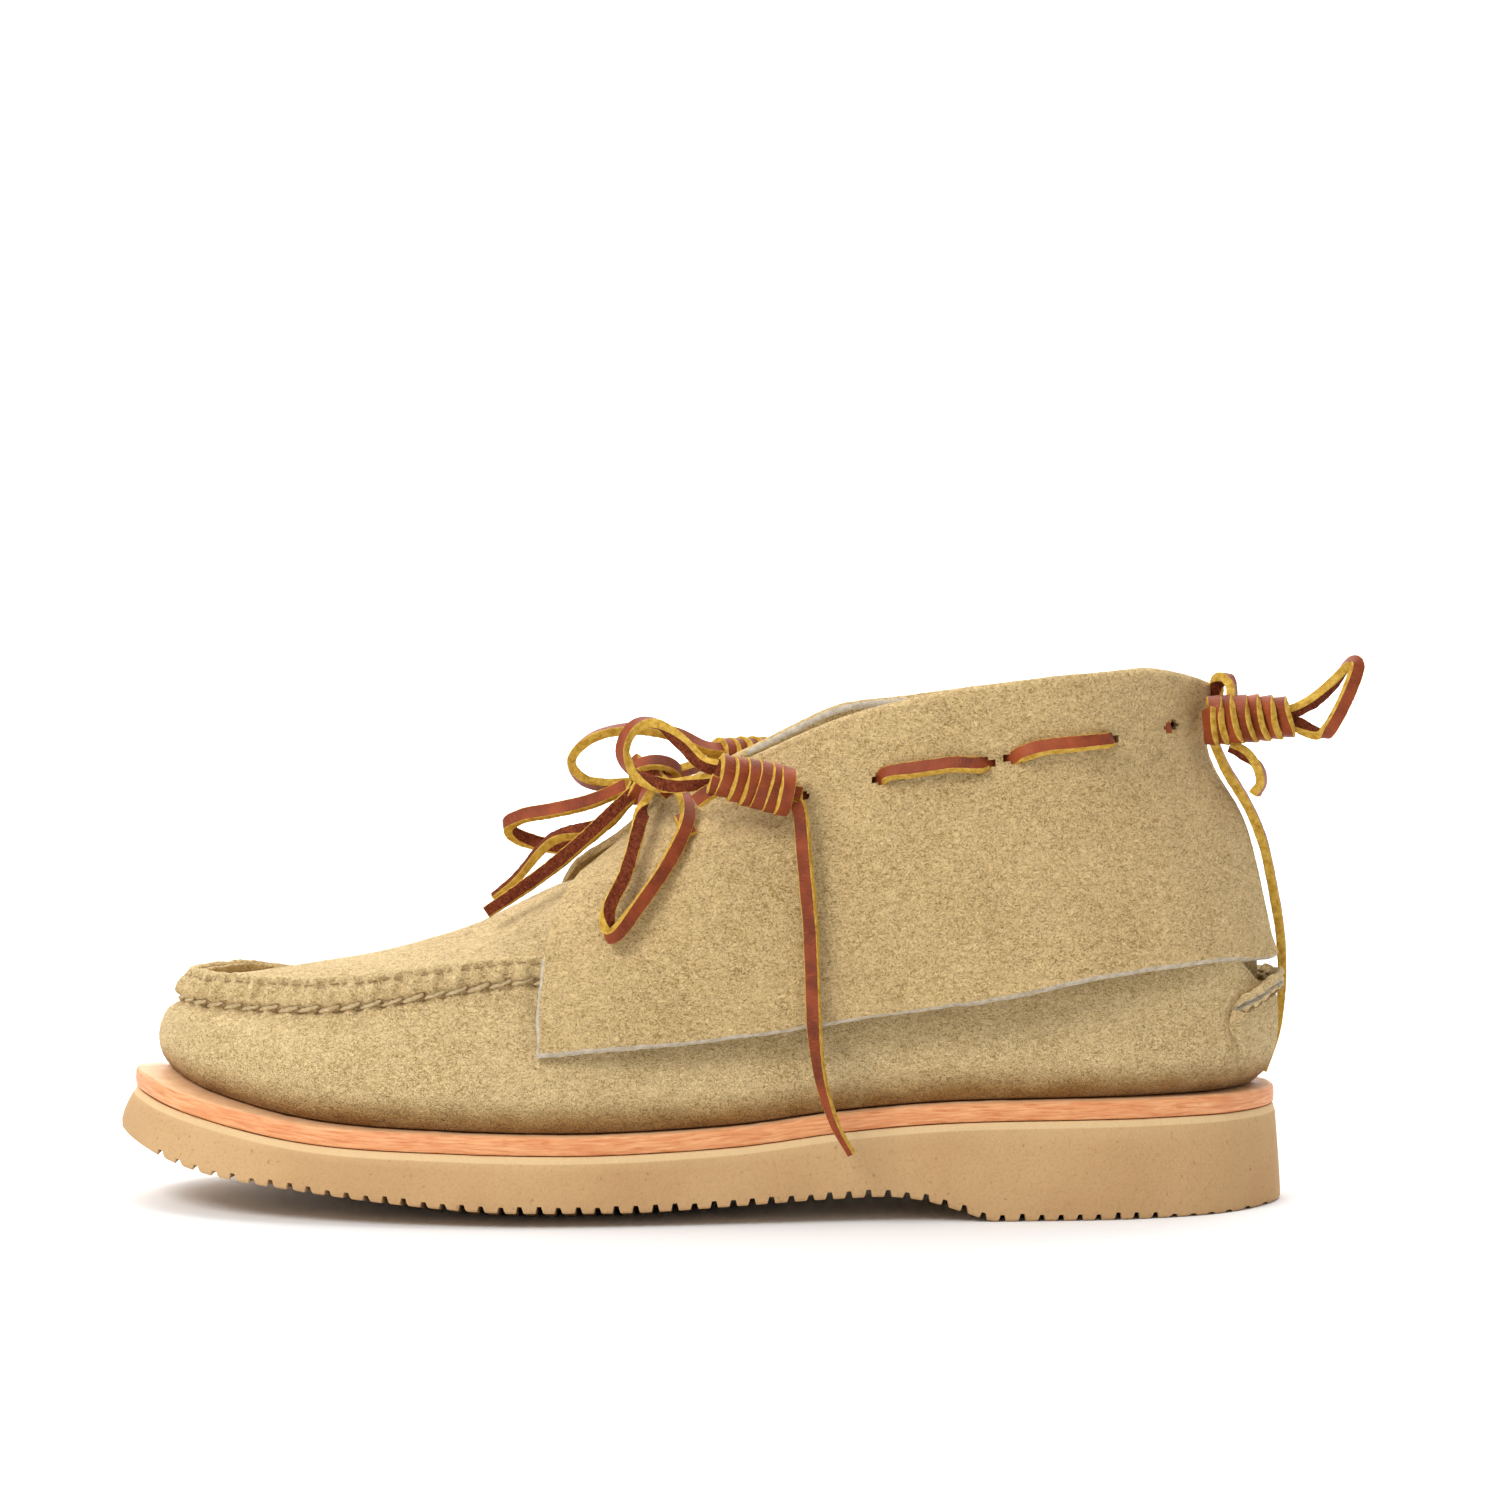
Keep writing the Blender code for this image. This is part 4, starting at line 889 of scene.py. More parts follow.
def groove_stations(first, last):
    """Places along the sole at which the tread is cut, and how deep it is there: less so behind the heel."""
    x, depth = [], []
    for middle in np.arange(first, last, GROOVE_PITCH):
        middle += ROUGH.uniform(-0.15, 0.15)
        deep = GROOVE_DEPTH * ROUGH.uniform(0.8, 1.1) * (1 - 0.65 * float(smooth((middle - 112) / 14)))
        x += [middle - GROOVE_OPEN / 2 - GROOVE_LIP, middle - GROOVE_OPEN / 2, middle - GROOVE_FLOOR / 2]
        x += [middle + GROOVE_FLOOR / 2, middle + GROOVE_OPEN / 2, middle + GROOVE_OPEN / 2 + GROOVE_LIP]
        depth += [0, 0.12, deep, deep, 0.12, 0]
    return np.array(x), np.array(depth)


def outsole_top(x):
    return value_at(MIDSOLE_TOP, x) - MIDSOLE - GAP


def across_sole(outer, inner, v):
    """y at shares v of the width, from -1 at the outer side to 1 at the inner one."""
    return (outer + inner)[:, None] / 2 + (inner - outer)[:, None] / 2 * v


def outsole_sides(u, edge, depth):
    """(x, outer y, inner y, z) of each level of the sides, above an edge that is cut to the given depth."""
    sides = []
    for share, kind, step, inset in SIDE_LEVELS:
        x, outer, inner = sole_level(share, inset, u)
        high = outsole_top(x)
        if kind == "tread":
            z = np.maximum(edge + step, edge + depth + 0.15 * step)
        elif kind == "wall":
            z = edge + WALL_FOOT + (high - STRIP - edge - WALL_FOOT) * step
        else:
            z = high - (STRIP if kind == "band" else 0) - step
        sides.append((x, outer, inner, np.maximum(z, edge + 0.05)))
    return sides


def sole_cap(first, count, levels, flip=False):
    """Faces that close the outsole's first or last section: its tread, its sides level by level, its lid."""
    faces = [[*range(ACROSS + 1), count - 1]]
    faces += [[ACROSS + k, ACROSS + k + 1, count - 2 - k, count - 1 - k] for k in range(levels - 1)]
    faces.append(list(range(ACROSS + levels - 1, count - levels + 1)))
    return [[first + k for k in (face[::-1] if flip else face)] for face in faces]


def build_outsole():
    """The foam unit as sections from toe to heel, each round by the tread, inner side, lid and outer side."""
    low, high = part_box("outsole")
    x0, x1 = low.x / MM, high.x / MM
    cut_x, cut_depth = groove_stations(x0 + TOE_PLAIN, x1 - HEEL_PLAIN)
    ends = 1 - np.cos(np.linspace(0.03, math.pi / 2, END_STEPS))
    toe_x = x0 + ends * (cut_x[0] - x0 - 0.6)
    heel_x = x1 - (ends * (x1 - cut_x[-1] - 0.6))[::-1]
    u = (np.concatenate([toe_x, cut_x, heel_x]) - x0) / (x1 - x0)
    depth = np.concatenate([toe_x * 0, cut_depth, heel_x * 0])
    v = np.sin(np.linspace(-math.pi / 2, math.pi / 2, ACROSS))

    x, outer, inner = sole_level(1.0, TREAD_INSET, u)
    y = across_sole(outer, inner, v)
    from_edge = np.minimum(y - outer[:, None], inner[:, None] - y)
    bottom, crown = value_at(OUTSOLE_BOTTOM, x), value_at(CROWN, x)
    z = bottom[:, None] + crown[:, None] * (1 - smooth(from_edge / CROWN_WIDTH)) + depth[:, None]
    tread = np.stack(np.broadcast_arrays(x[:, None], y, z), axis=-1)
    sides = outsole_sides(u, bottom + crown, depth)
    inner_side = np.stack([np.stack([x, y, z], axis=-1) for x, _, y, z in sides], axis=1)
    outer_side = np.stack([np.stack([x, y, z], axis=-1) for x, y, _, z in sides[::-1]], axis=1)
    x, outer, inner = sole_level(0.0, LID_INSET, u)
    y = across_sole(outer, inner, v[::-1][1:-1])
    lid = np.stack(np.broadcast_arrays(x[:, None], y, outsole_top(x)[:, None]), axis=-1)
    rings = np.concatenate([tread, inner_side, lid, outer_side], axis=1)

    stations, count = rings.shape[:2]
    levels = len(sides)
    strip, on_side = np.zeros(count), np.zeros(count)
    strip[ACROSS + levels - 4 : ACROSS + levels] = [0.2, 1, 1, 1]
    strip[count - levels : count - levels + 4] = [1, 1, 1, 0.2]
    on_side[ACROSS : ACROSS + levels - 1] = 1
    on_side[count - levels + 1 :] = 1
    # How deep the tread is cut at each point, used to paint shade into the grooves
    groove = np.zeros((stations, count))
    groove[:, :ACROSS] = np.clip(depth / GROOVE_DEPTH, 0, 1)[:, None]
    uneven = noise(rings, 5) * 0.10 + noise(rings, 1.4) * 0.06
    rings = rings + unit(rings * [0, 1, 0]) * (uneven * on_side)[..., None]
    faces = loft_faces(stations, count)
    faces += sole_cap(0, count, levels) + sole_cap((stations - 1) * count, count, levels, flip=True)
    faces = [face[::-1] for face in faces]
    marks = {"strip": np.broadcast_to(strip, (stations, count)).ravel(), "groove": groove.ravel()}
    looks = [SOLE_LOOK]
    piece("outsole_tread", rings, faces, looks, ["outsole"], marks=marks, sharp=38)


def midsole_profile():
    """(inset, height from the top, share of the edge's look) from under the edge, up it and over the top."""
    foot = -MIDSOLE + 0.35
    edge = [(-0.12 * math.sin(math.pi * k / 7), foot + k * 0.5, 1) for k in range(1, 8)]
    rounded = [(0.08, -0.62, 1), (0.3, -0.28, 0.9), (0.62, -0.08, 0.5), (1.1, 0, 0.1), (2.0, 0.02, 0)]
    return [(3.0, -MIDSOLE, 1), (0.35, -MIDSOLE, 1), (0.0, foot, 1), *edge, *rounded] + [
        (inset, 0, 0) for inset in (4, 7, 11, 16)
    ]


def build_midsole():
    line, normals = outline(MIDSOLE_COLUMNS)
    top = value_at(MIDSOLE_TOP, line[:, 0])
    wave = noise(line, 14) * 0.18 + noise(line, 2.2) * 0.07
    s = np.arange(MIDSOLE_COLUMNS) * lengths_along(np.vstack([line, line[:1]]))[-1] / MIDSOLE_COLUMNS
    s = np.abs(s - s[-1] / 2)  # the same fibres on both sides, so that they meet at the toe
    rings, edge, along = [], [], []
    for inset, lift, share in midsole_profile():
        ring = line + normals * (wave * (1 if inset < 3 else 0) - inset)[:, None]
        ring[:, 2] = top + lift
        ring[:, 2] += noise(ring, 3.2) * (0.1 if lift > -MIDSOLE + 0.2 else 0)
        rings.append(ring)
        edge.append(np.full(MIDSOLE_COLUMNS, float(share)))
        along.append(np.stack(np.broadcast_arrays(s, float(lift), float(inset)), axis=1) * MM)
    rings = np.array(rings)
    marks = {"edge": np.concatenate(edge), "along": np.concatenate(along)}
    piece(
        "midsole_layer", rings, body_faces(rings), [MIDSOLE_LOOK], ["midsole"],
        marks=marks, sharp=60,
    )


# ---------------------------------------------------------------- body

WALL_ROWS, BEND_ROWS, RIDGE_ROWS, INSIDE_ROWS, CREST_ROWS = 40, 19, 15, 26, 5
REAR_INSET, REAR_LIFT = 1.2, 7  # how the vamp's edge stands up under the collar, behind the raised seam
THIN_STITCH = 1.6  # stitches along the ridge's top for each thick one
THIN_ROW = 12  # the ridge's row that they are in
APRON_INSET = SUEDE + 0.6
APRON_ACROSS, APRON_ROWS = 121, 150
NOSE_END, TONGUE_TIP = -112.0, 22  # x where the apron's round front ends, and where the tongue does
EDGE_COLUMNS = 1400  # points round the apron's turned-up edge
LINER_COLUMNS = 360


def nap(points):
    """How far the suede's pile stands off the surface."""
    return noise(points, 1.15) * 0.07 + noise(points, 2.6) * 0.06 + noise(points, 9) * 0.10


def seam_phase():
    """Angle along the seam line at each column: a stitch hole lies at each whole turn."""
    ring = seam_ring()
    s = lengths_along(np.vstack([ring, ring[:1]]))
    turns = round(s[-1] / STITCH)
    return 2 * math.pi * turns * s[:-1] / s[-1], ring


def vamp_wall(seam, out, uneven, swell, gather):
    """The outside from its foot up to the seam, puffed between the stitches at the toe."""
    toe_gather = smooth((-52 - outline(BODY_COLUMNS)[0][:, 0]) / 52)
    control = [body_ring(stations, BODY_COLUMNS) for stations in (FOOT_EDGE, LOW_SIDE, BULGE, HIGH_SIDE)]
    control.append(seam_ring(inset=0.4 * gather, lift=-0.9 * gather))
    t = np.concatenate([np.linspace(0, 3, WALL_ROWS), 3 + np.linspace(0, 1, BEND_ROWS)[1:] ** 0.85])
    wall = spline(np.array(control), t)
    up = (t - 4)[:, None] * 9.0  # roughly millimetres below the seam
    pucker = toe_gather * (0.75 + 0.6 * uneven) * np.exp(up / 4.2) * (swell - 0.35) * 1.6
    puffs = noise(seam * [1, 1, 0], 7.5) * 0.8
    broad = toe_gather * np.exp(-((up + 5.5) ** 2) / 22) * puffs
    edge_dip = np.where(up > -0.8, -0.5, 0) * (1 - swell) * gather
    wall = wall + out * (pucker + broad + edge_dip)[..., None]
    wall[..., 2] += np.exp(up / 1.6) * (swell - 0.5) * 0.75 * gather
    return wall


def vamp_ridge(phase, out, swell, gather, rear):
    """(rows, how far each column of the top row is pushed out) of the raised seam's outer face."""
    rise = np.linspace(0, 1, RIDGE_ROWS)[:, None]
    low, high = seam_ring(), ridge_ring(inset=rear * REAR_INSET, lift=rear * REAR_LIFT)
    belly = np.sin(math.pi * np.clip(rise * 0.94 + 0.03, 0, 1)) ** 0.6
    lump = noise(np.stack(np.broadcast_arrays(phase / 2.2, rise * 2, 0.0), axis=-1), 1.0)
    push = belly * gather * (0.45 + (2.2 * swell + 1.0 * lump) * (1 - rise * 0.6))
    push = push - gather * (1 - smooth(rise * 5))
    groove = -0.38 * np.exp(-(((rise - 0.80) * 9.5) ** 2)) * gather
    ridge = low + (high - low) * rise[..., None] + out * (push + groove)[..., None]
    ridge += out * (noise(ridge, 3.1) * 0.4 * gather * belly)[..., None]
    ridge[..., 2] += noise(ridge, 2.4) * 0.2 * rise + noise(ridge, 7) * 0.35 * rise * gather
    return ridge, push[-1]


def vamp_crest(out, push, rear):
    """The raised seam's rounded top, from its outer face to its inner one."""
    crest = []
    for k in range(1, CREST_ROWS + 1):
        share = k / (CREST_ROWS + 1)
        round_top = 0.5 * math.sin(math.pi * share)
        ring = ridge_ring(inset=SUEDE * share + rear * REAR_INSET, lift=rear * REAR_LIFT + round_top)
        ring += out * (push * (1 - share))[:, None]
        crest.append(ring + noise(ring, 1.3)[:, None] * [0, 0, 0.25])
    return crest


def vamp_inside(rear):
    under_ridge = ridge_ring(inset=SUEDE + rear * REAR_INSET, lift=rear * REAR_LIFT - 0.3)
    rings = [under_ridge, seam_ring(inset=SUEDE + 0.2)]
    rings += [body_ring(stations, BODY_COLUMNS, SUEDE) for stations in (HIGH_SIDE, BULGE)]
    rings.append(body_ring(LOW_SIDE, BODY_COLUMNS, SUEDE, 0.6))
    rings.append(body_ring(FOOT_EDGE, BODY_COLUMNS, SUEDE + 3, GAP - FOOT_LIFT + SUEDE))
    return spline(np.array(rings), np.linspace(0, 5, INSIDE_ROWS))


def build_vamp():
    phase, seam = seam_phase()
    line, out = outline(BODY_COLUMNS)
    x = line[:, 0]
    uneven = noise(level(phase / 4.1), 1.0)
    rear = smooth((x - 10) / 40) * (1 - smooth((x - 139) / 7))
    swell = 0.5 - 0.5 * np.cos(phase + uneven * 0.5)
    gather = smooth((6 - x) / 34)
    wall = vamp_wall(seam, out, uneven, swell, gather)
    ridge, push = vamp_ridge(phase, out, swell, gather, rear)
    outside = np.concatenate([wall, ridge, vamp_crest(out, push, rear)])
    outside = outside + grid_normals(outside, wrap=True) * nap(outside)[..., None]
    tuck = ((5, GAP - FOOT_LIFT), (1.6, GAP - FOOT_LIFT), (0.5, -0.35))
    under = [body_ring(FOOT_EDGE, BODY_COLUMNS, inset, lift) for inset, lift in tuck]
    rings = np.concatenate([under, outside, vamp_inside(rear)])

    height = rings[..., 2] - value_at(MIDSOLE_TOP, rings[..., 0])
    # Darker low down towards the sole
    darkened = (1 - smooth((height - 2.0) / 8.5)) * (0.92 + 0.14 * noise(rings, 5))
    # Painted shade in the stitch holes of the moc-toe seam and of the thin stitch row along the ridge
    hole = np.zeros(rings.shape[:2])
    seam_row = len(under) + len(wall)
    hole[seam_row - 2 : seam_row + 3] = (1 - swell) ** 6 * gather * 0.5
    thin = seam_row + THIN_ROW
    hole[thin - 1 : thin + 2] = (0.5 - 0.5 * np.cos(phase * THIN_STITCH + 1)) ** 4 * gather * 0.45
    marks = {"darkened": np.clip(np.maximum(darkened, hole), 0, 1).ravel()}
    piece("vamp_panel", rings, body_faces(rings), [SUEDE_LOOK], ["vamp"], marks=marks, sharp=70)


def apron_height(x, y):
    """(height, outer edge's y, inner edge's y) of the apron, arched between its edges."""
    outer, inner = (y_at(half, x) for half in two_sides(seam_ring(FINE_COLUMNS, APRON_INSET)))
    share = smooth((x + 52) / 8)
    outer = outer + (value_at(TONGUE_SIDES, x, 1) - outer) * share
    inner = inner + (value_at(TONGUE_SIDES, x, 2) - inner) * share
    v = (y - (outer + inner) / 2) / np.maximum((inner - outer) / 2, 0.5)
    arch = 1 - np.clip(np.abs(v), 0, 1) ** 1.9
    edge = value_at(APRON_EDGE, x) - RIDGE_DIP * 0.8 * medial_dip(x, y)
    return edge + (value_at(APRON_MIDDLE, x) - edge) * arch, outer, inner


def apron_grid():
    """Rows across the apron: the first follow its round front, the last its tongue's square end."""
    v = np.linspace(-1, 1, APRON_ACROSS)
    ring = seam_ring(FINE_COLUMNS, APRON_INSET)
    ring = np.roll(ring, -ring[:, 0].argmin(), axis=0)
    half = len(ring) // 2
    outer = ring[:half][ring[:half, 0] <= NOSE_END]
    inner = ring[half:][ring[half:, 0] <= NOSE_END]
    arc = np.vstack([outer[::-1], inner[::-1]])
    arc = at_lengths(arc, (v + 1) / 2 * lengths_along(arc)[-1])
    nose = arc[:, 0] - arc[0, 0]
    arc_share = (arc[:, 1] - arc[0, 1]) / (arc[-1, 1] - arc[0, 1])
    rows = []
    for k in range(APRON_ROWS):
        share = k / (APRON_ROWS - 1)
        edge_x = NOSE_END + (TONGUE_TIP - NOSE_END) * share
        blend = (1 - smooth(share / 0.42)) ** 1.4
        middle_x = edge_x - 7.5 * smooth((share - 0.75) / 0.25)
        x = edge_x + (middle_x - edge_x) * (1 - v**2) + nose * blend
        _, low, high = apron_height(np.array([edge_x, edge_x]), np.zeros(2))
        span = low[0] + (high[0] - low[0]) * (v + 1) / 2
        y = span + (low[0] + (high[0] - low[0]) * arc_share - span) * blend
        rows.append(np.stack([x, y, apron_height(x, y)[0]], axis=1))
    return np.array(rows)


def build_apron():
    grid = apron_grid()
    grid[..., 2] += noise(grid, 24) * 0.5 * smooth((grid[..., 0] + 120) / 40)
    normals = grid_normals(grid)
    if normals[..., 2].mean() < 0:
        grid, normals = grid[:, ::-1], -normals[:, ::-1]
    back = grid - normals * SUEDE
    front = grid + normals * nap(grid)[..., None]
    faces, rim = shell_faces(np.ones((APRON_ROWS - 1, APRON_ACROSS - 1), bool))
    verts = np.concatenate([front.reshape(-1, 3), back.reshape(-1, 3)])
    piece(
        "apron_panel", verts, faces, [APRON_LOOK, EDGE_LOOK], ["apron"],
        face_material=rim.astype(int), marks={"darkened": np.zeros(len(verts))},
    )
    build_apron_edge()


def build_apron_edge():
    """The apron's edge, turned up inside the raised seam."""
    rings = seam_ring(EDGE_COLUMNS, SUEDE + 0.35), ridge_ring(EDGE_COLUMNS, SUEDE + 0.25)
    low, high = (np.roll(r, -r[:, 0].argmin(), axis=0) for r in rings)
    keep = low[:, 0] < -34
    half = EDGE_COLUMNS // 2
    order = np.concatenate([np.where(keep[half:])[0] + half, np.where(keep[:half])[0]])
    low, high = low[order], high[order]
    into = unit(np.array([-60, 0, 0]) - low)
    into[:, 2] = 0
    foot = low.copy()
    foot[:, 2] = apron_height(low[:, 0], low[:, 1])[0] - 1.0
    profile = []
    for share in np.linspace(0, 1, 9):
        point = foot + (high - foot) * share
        point[:, 2] -= 0.7 * share
        profile.append(point)
    for k in range(1, 5):
        turn = math.pi * k / 5
        point = high + into * (0.8 - 0.8 * math.cos(turn))
        point[:, 2] += 0.45 * math.sin(turn) - 0.7
        profile.append(point)
    for share in np.linspace(0, 1, 9):
        spread = 1.6 + 2.6 * smooth((share - 0.45) / 0.55)
        point = high + (foot - high) * share + into * spread
        point[:, 2] += -0.7 + share * 0.2
        profile.append(point)
    rings = np.array(profile)
    rings += noise(rings, 1.4)[..., None] * [0, 0, 0.2]
    rings += unit(into)[None] * (noise(rings, 3.0) * 0.25)[..., None]
    rows, columns = rings.shape[:2]
    index = np.arange(rows * columns).reshape(rows, columns)
    nxt = np.roll(index, -1, axis=0)
    faces = np.stack([index[:, :-1], index[:, 1:], nxt[:, 1:], nxt[:, :-1]], axis=-1).reshape(-1, 4).tolist()
    faces += [index[:, 0].tolist(), index[::-1, -1].tolist()]
    marks = {"darkened": np.zeros(rings.size // 3)}
    piece("apron_edge", rings, faces, [APRON_LOOK], marks=marks, sharp=70)


def build_sock_liner():
    low = SUEDE + 2 * GAP - FOOT_LIFT
    levels = ((4, 0), (3.2, 1.2), (3.5, 1.8), (4.4, 2.0), (9, 1.8), (15, 1.6))
    rings = [body_ring(FOOT_EDGE, LINER_COLUMNS, SUEDE + inset, low + lift) for inset, lift in levels]
    rings = np.array(rings)
    rings[..., 2] += noise(rings, 18) * 0.25
    piece("insole", rings, body_faces(rings), [LINING], ["sock_liner"])


# ---------------------------------------------------------------- collar


COLLAR_COLUMNS, COLLAR_UP, COLLAR_FOLD, COLLAR_DOWN = 401, 88, 12, 21
SLIT_LONG, SLIT_WIDE, SLIT_DEEP = 2.7, 1.35, 4
CUT_BEVEL = 0.9
HEM_FLARE = 1.8
HEM_ROWS, FLARE_ROWS, FRONT_COLUMNS = 4.2, 9.3, 4.4  # how fast the hem's and the front edge's shapes fade
BRIGHT_EDGE = 68  # the collar's cut edges are pale below this height, and rubbed dull above it
BRIGHT_FOLD = (12, 54)  # x between which the inner fold's rubbed line is pale
THONG_ARCH = 1.3


def drop_share(p):
    """How much of MEDIAL_DROP the inner side takes at p: all of it along the ankle line."""
    low = value_at([(30, 0), (62, 1), (98, 1), (128, 0)], p[..., 0])
    return low * value_at([(95, 0), (134, 1)], p[..., 2])


def both_sides(row):
    """A row of the outer side carried on round the heel and back along the inner one."""
    outer = np.array(row, float)
    low = value_at(MEDIAL_HEM_SHARE, outer[:, 0])
    share = low + (MEDIAL_SHARE - low) * value_at([(60, 0), (110, 1)], outer[:, 2])
    inner = outer * np.stack([share * 0 + 1, -share, share * 0 + 1], axis=1)
    inner[:, 2] += MEDIAL_DROP * drop_share(outer)
    return np.concatenate([outer, inner[-2::-1]])


def collar_row(row):
    """A row as a smooth line of COLLAR_COLUMNS points round both sides."""
    return spline(both_sides(row), np.linspace(0, 2 * len(row) - 2, COLLAR_COLUMNS))


def collar_rows(rows):
    return np.array([collar_row(row) for row in rows])


def collar_outside():
    rows = collar_rows(COLLAR_OUTSIDE)
    return spline(rows, np.linspace(0, len(rows) - 1, COLLAR_UP))


PLAIN_COLLAR = collar_outside()
PLAIN_NORMALS = grid_normals(PLAIN_COLLAR)


def on_collar(x, z, side):
    """(point, normal) of the collar's outside at that x and z, on the outer (1) or the inner (-1) half."""
    if side < 0:
        z = z + MEDIAL_DROP * float(drop_share(np.array([x, 0, z])))
    half = slice(0, COLLAR_COLUMNS // 2 + 1) if side > 0 else slice(COLLAR_COLUMNS // 2, None)
    part = PLAIN_COLLAR[:, half]
    r, c = np.unravel_index(((part[..., 0] - x) ** 2 + (part[..., 2] - z) ** 2).argmin(), part.shape[:2])
    c += half.start
    return PLAIN_COLLAR[r, c], PLAIN_NORMALS[r, c]


def slit_frames():
    """Each slit's middle, the direction of the thong through it and the surface normal, for both sides."""
    found = []
    for side in (1, -1):
        for k, slit in enumerate(SLITS):
            place, normal = on_collar(*slit, side)
            a, b = SLITS[max(k - 1, 0)], SLITS[min(k + 1, len(SLITS) - 1)]
            along = unit(on_collar(*b, side)[0] - on_collar(*a, side)[0])
            found.append((place, unit(along - normal * along.dot(normal)), normal))
    return found


def collar_grid():
    """The collar's rows from the hem up the outside, over the fold and down the inside."""
    top = PLAIN_COLLAR[-1]
    along = np.gradient(top, axis=0)
    inward = unit(np.stack([-along[:, 1], along[:, 0], along[:, 0] * 0], axis=1))
    fold = []
    for k in range(1, COLLAR_FOLD + 1):
        angle = math.pi * k / COLLAR_FOLD
        rise = np.array([0, 0, FOLD_RADIUS * math.sin(angle)])
        fold.append(top + inward * FOLD_RADIUS * (1 - math.cos(angle)) + rise)
    inner_rows = np.concatenate([[top + inward * FOLD_RADIUS * 2], collar_rows(COLLAR_INSIDE)])
    inside = spline(inner_rows, np.linspace(0, len(inner_rows) - 1, COLLAR_DOWN + 1))[1:]
    return np.concatenate([PLAIN_COLLAR, fold, inside])


def worn(grid, normals):
    """The collar with its soft waves, its uneven cut edges and its flared hem."""
    row, column = np.arange(len(grid))[:, None], np.arange(COLLAR_COLUMNS)[None]
    outside = row < COLLAR_UP
    soft = noise(grid, 34) * 0.9 + noise(grid + 40, 15) * 0.32
    soft = soft * smooth(row / 12) * (row < COLLAR_UP + 19)
    grid = grid + normals * soft[..., None]
    grid[..., 2] += (noise(grid, 9) * 0.45 + noise(grid, 2.1) * 0.22) * np.exp(-row / HEM_ROWS)
    flare = HEM_FLARE * np.exp(-row / FLARE_ROWS) * outside * smooth((grid[..., 0] - 48) / 40)
    flare = flare * (1 - 0.7 * smooth((grid[..., 0] - 134) / 12))
    grid = grid + normals * flare[..., None]
    from_front = np.minimum(column, COLLAR_COLUMNS - 1 - column)
    front = np.exp(-from_front / FRONT_COLUMNS) * outside
    grid[..., 0] += (noise(grid + 9, 3.0) * 0.3 + noise(grid + 5, 11) * 0.4) * front
    return grid


def slit_shapes(grid):
    """(how far the suede stands out, which cells it has) round and in the thong's slits."""
    row = np.arange(len(grid))[:, None]
    dimple = np.zeros(grid.shape[:2])
    keep = np.ones((len(grid) - 1, COLLAR_COLUMNS - 1), bool)
    middle = (grid[:-1, :-1] + grid[1:, 1:]) / 2
    for place, direction, normal in slit_frames():
        offset = grid - place
        a, b = offset @ direction, offset @ np.cross(normal, direction)
        near = (np.abs(offset @ normal) < SLIT_DEEP) & (row < COLLAR_UP)
        dimple += near * -0.75 * np.exp(-((a / 4.2) ** 2) - (b / 2.2) ** 2)
        dimple += near * 0.35 * np.exp(-((a / 5.0) ** 2) - ((np.abs(b) - 3.2) / 1.5) ** 2)
        offset = middle - place
        a, b = offset @ direction, offset @ np.cross(normal, direction)
        cut = (a / SLIT_LONG) ** 2 + (b / SLIT_WIDE) ** 2 < 1
        keep &= ~(cut & (np.abs(offset @ normal) < SLIT_DEEP) & (row[:-1] < COLLAR_UP))
    return dimple, keep


def pale_cells(grid, keep):
    """Which kept cells show the pale cut edge: the hem, the low front edges and a line on the inner fold."""
    cells = np.indices(keep.shape)[:, keep]
    x, y, z = grid[cells[0], cells[1]].T
    ends = np.isin(cells[1], (0, keep.shape[1] - 1)) & (z < BRIGHT_EDGE) & (cells[0] < COLLAR_UP)
    rubbed = (y > 0) & (x > BRIGHT_FOLD[0]) & (x < BRIGHT_FOLD[1]) & (abs(cells[0] - COLLAR_UP - 8) < 2)
    return (cells[0] == 0) | ends | rubbed


def build_collar():
    plain = collar_grid()
    normals = grid_normals(plain)
    grid = worn(plain, normals)
    dimple, keep = slit_shapes(grid)
    grid = grid + normals * dimple[..., None]
    normals = grid_normals(grid)
    back = grid - normals * SUEDE
    face = grid + normals * nap(grid)[..., None]
    face[0] -= normals[0] * CUT_BEVEL
    face[: COLLAR_UP + 1, [0, -1]] -= normals[: COLLAR_UP + 1, [0, -1]] * CUT_BEVEL
    verts = np.concatenate([face.reshape(-1, 3), back.reshape(-1, 3)])
    faces, rim = shell_faces(keep)
    pale = pale_cells(grid, keep)
    rim[: len(pale)] |= pale
    rim[len(pale) :] &= verts[np.array(faces)[len(pale) :, 0], 2] < BRIGHT_EDGE
    piece(
        "collar_panel", verts, faces, [COLLAR_LOOK, EDGE_LOOK], ["collar"],
        face_material=rim.astype(int), marks={"darkened": np.zeros(len(verts))},
    )


def thong_route(side):
    """In at the first slit, along the back to the second, out and along the front to the third, and so on."""
    outside, behind = LACE_THICK / 2 + 0.5, -(SUEDE + GAP + LACE_THICK / 2)
    place, normal = on_collar(*SLITS[0], side)
    route = [(place + normal * 1.2, normal), (place - normal * SUEDE / 2, normal)]
    for k, (start, end) in enumerate(zip(SLITS, SLITS[1:])):
        out = k % 2 == 1
        lean = np.array([0, 0, 0.45]) if out else np.zeros(3)
        length = math.dist(start, end)
        for share in (2.4 / length, 0.3, 0.5, 0.7, 1 - 2.4 / length):
            x, z = (a + (b - a) * share for a, b in zip(start, end))
            place, normal = on_collar(x, z + (THONG_ARCH * math.sin(math.pi * share) if out else 0), side)
            lift = outside + 0.9 * math.sin(math.pi * share) if out else behind
            route.append((place + normal * lift, normal + lean))
        place, normal = on_collar(*end, side)
        route.append((place - normal * SUEDE / 2, normal + lean * 0.5))
    return route


